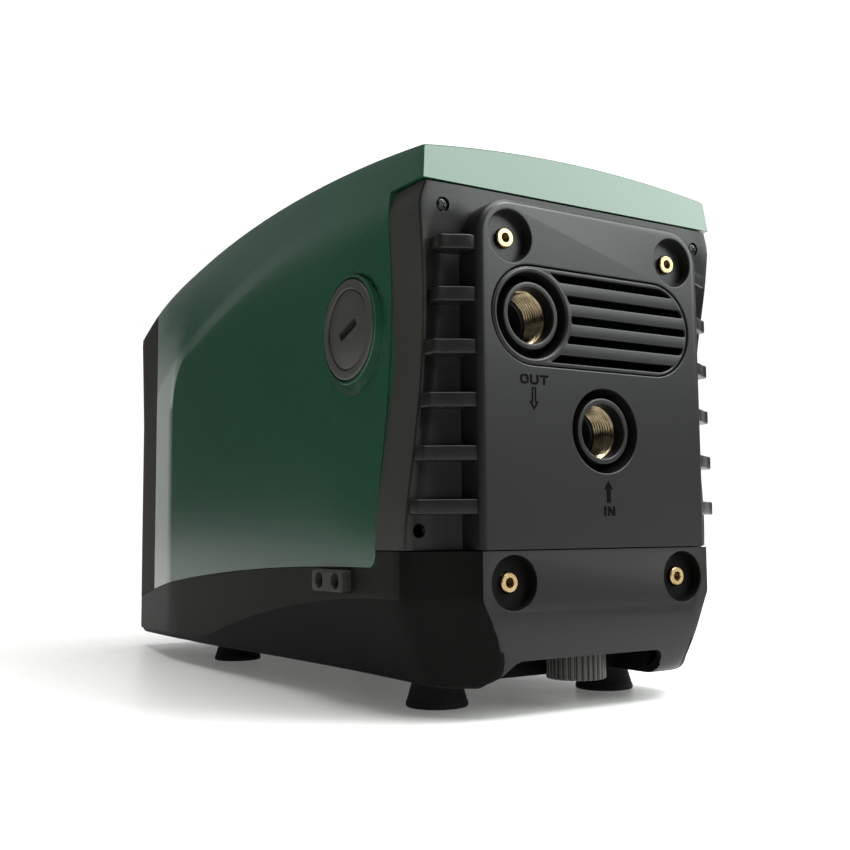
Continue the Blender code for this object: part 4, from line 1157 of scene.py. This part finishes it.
def make_feet():
    for node in ("foot_rear_left", "foot_rear_right", "foot_front_left", "foot_front_right"):
        center, wide, _, top = round_size(node, "Z")
        narrow = 15.5
        profile = [(0, top), (narrow, top), (narrow, top - 1.5), (narrow + 0.3, top - 2.4)]
        profile += [(wide - 0.7, 4.0), (wide - 0.1, 3.0), (wide, 2.2)]
        profile += arc((wide - 1.0, 1.0), 1.0, 0, -90, 4) + [(9.0, 0), (8.2, 1.6), (0, 1.6)]
        foot = turned(node + "_body", profile, "Z", center, 96)
        settle(foot, RUBBER, node, slot="rubber")


def make_side_fittings():
    low, high = span("side_socket")
    outline = rounded_rectangle((low.y, low.z), (high.y, high.z), [2.6] * 4, 6)
    block = flat("socket_block", [outline], low.x, high.x, "YZ", 0.9)
    z, face_x, bottom_x = (low.z + high.z) / 2, high.x, 116.8
    hole = [(0, face_x + 4), (5.6, face_x + 4), (5.2, face_x - 0.4), (4.8, face_x - 1.2)]
    hole += [(4.8, bottom_x), (0, bottom_x)]
    for y in (154.4, 175.9):
        cut(block, turned("socket_hole", hole, "X", (0, y, z), 64))
    settle(block, SIDE, "side_socket")
    low, high = span("cable_gland")
    center = middle("cable_gland")
    hexagon = circle((center.y, center.z), 13.0, 6)
    hole = circle((center.y, center.z), 4.5, 48)
    nut = flat("gland_nut", [hexagon, hole], low.x, low.x + 5.6, "YZ", 0.6)
    tube = ring_profile(9.8, 4.5, low.x + 4, high.x, 0.4)
    gland = join(nut, turned("gland_tube", tube, "X", center, 64))
    settle(gland, SATIN, "cable_gland")


# --- hidden pieces


def finish_hidden():
    """The pieces inside keep their CAD shape and get a full material."""
    finishes = {
        BLACK: "accessory_bay pump_casing suction_cover discharge_manifold drain_neck",
        GREY: "diffuser_1 diffuser_2 impeller_1 impeller_2 check_valve_poppet",
        STEEL: "motor_shaft bearing_front bearing_rear door_pin",
        LAMINATED: "rotor_core stator_core",
        COPPER: "winding_front winding_rear",
        CASTING: "motor_can motor_flange heat_sink",
        VESSEL: "pressure_vessel",
        RUBBER: "vessel_bladder shaft_seal",
        BRASS: "air_valve pressure_sensor",
        BOARD: "display_board inverter_board",
    }
    for material, names in finishes.items():
        for name in names.split():
            for slot in NODES[name].material_slots:
                slot.material = material


# --- camera, floor and light


CAMERA_PLACE, CAMERA_LENS = (0.44903, 0.79084, 0.108), 46.69
CAMERA_YAW, CAMERA_PITCH, CAMERA_ROLL = 0.5659016, 0.0962407, -0.0090027
SKY_POWER, SKY_ANGLE = 3.9, 50
SWEEP_DIRECTION = (-0.536, -0.844, 0.0)
# Where each glow starts and ends along its direction, and its strength there
SWEEP_RANGE, SWEEP_STRENGTH = (0.70, 0.86), (0.035, 1.05)
CEILING_RANGE, CEILING_STRENGTH = (0.21, 0.31), (0.0, 0.23)


def make_camera():
    data = bpy.data.cameras.new("camera")
    data.lens = CAMERA_LENS
    data.sensor_width = 36.0
    data.clip_start = 0.02
    matrix = Matrix.Translation(CAMERA_PLACE)
    for angle, axis in ((math.pi - CAMERA_YAW, "Z"), (math.pi / 2 + CAMERA_PITCH, "X"), (CAMERA_ROLL, "Z")):
        matrix @= Matrix.Rotation(angle, 4, axis)
    camera = new_object("camera", data)
    camera.matrix_world = matrix
    bpy.context.scene.camera = camera


def soft_light(name, origin, target, size, power, color=(1, 1, 1)):
    data = bpy.data.lights.new(name, "AREA")
    data.shape = "RECTANGLE"
    data.size, data.size_y = size
    data.energy = power
    data.color = color
    light = new_object(name, data)
    light.location = origin
    light.rotation_euler = (Vector(target) - Vector(origin)).to_track_quat("-Z", "Y").to_euler()


def make_stage():
    form = bmesh.new()
    bmesh.ops.create_grid(form, x_segments=4, y_segments=4, size=12.0)
    floor = solid("floor", form)
    floor.data.materials.append(floor_finish("pale_floor"))
    bpy.context.scene.world = studio_world()
    bpy.context.scene.view_settings.view_transform = "Standard"
    overhead = bpy.data.lights.new("overhead_sky", "SUN")
    overhead.energy = SKY_POWER
    overhead.angle = math.radians(SKY_ANGLE)
    new_object("overhead_sky", overhead).rotation_euler = (math.radians(-8), math.radians(-6), 0)
    pale_green = (0.93, 1.0, 0.96)
    soft_light("rear_high_softbox", (-1.40, 1.72, 1.40), (0, 0.27, 0.3), (2.4, 1.35), 89.0, pale_green)
    soft_light("rear_key", (-1.3, 1.65, 2.7), (0, 0.27, 0.2), (1.0, 0.9), 90.0)


def studio_world():
    """A bright sweep behind the object, a dim room elsewhere and a ceiling glow, fixed in the world."""
    nodes = Nodes(bpy.data.worlds.new("studio"), "Background", "Generated")
    facing = nodes.add("ShaderNodeVectorMath")
    facing.operation = "DOT_PRODUCT"
    facing.inputs[1].default_value = SWEEP_DIRECTION
    height = nodes.add("ShaderNodeSeparateXYZ")
    for node in (facing, height):
        nodes.link(nodes.place, node.inputs[0])
    sweep = nodes.spread(facing.outputs["Value"], *SWEEP_STRENGTH, *SWEEP_RANGE, "SMOOTHSTEP")
    ceiling = nodes.spread(height.outputs["Z"], *CEILING_STRENGTH, *CEILING_RANGE, "SMOOTHSTEP")
    seen = nodes.add("ShaderNodeLightPath").outputs["Is Camera Ray"]
    nodes.feed("Strength", nodes.combine("MAXIMUM", nodes.combine("ADD", sweep, ceiling), seen))
    nodes.fix(Color=(1.0, 1.0, 1.0, 1.0))
    return nodes.owner


make_cover()
make_front()
make_controls()
make_door()
make_base()
make_rear()
make_grille()
make_ports()
make_inserts()
make_screws()
make_marks()
make_fill_cap()
make_drain()
make_feet()
make_side_fittings()
finish_hidden()
make_camera()
make_stage()
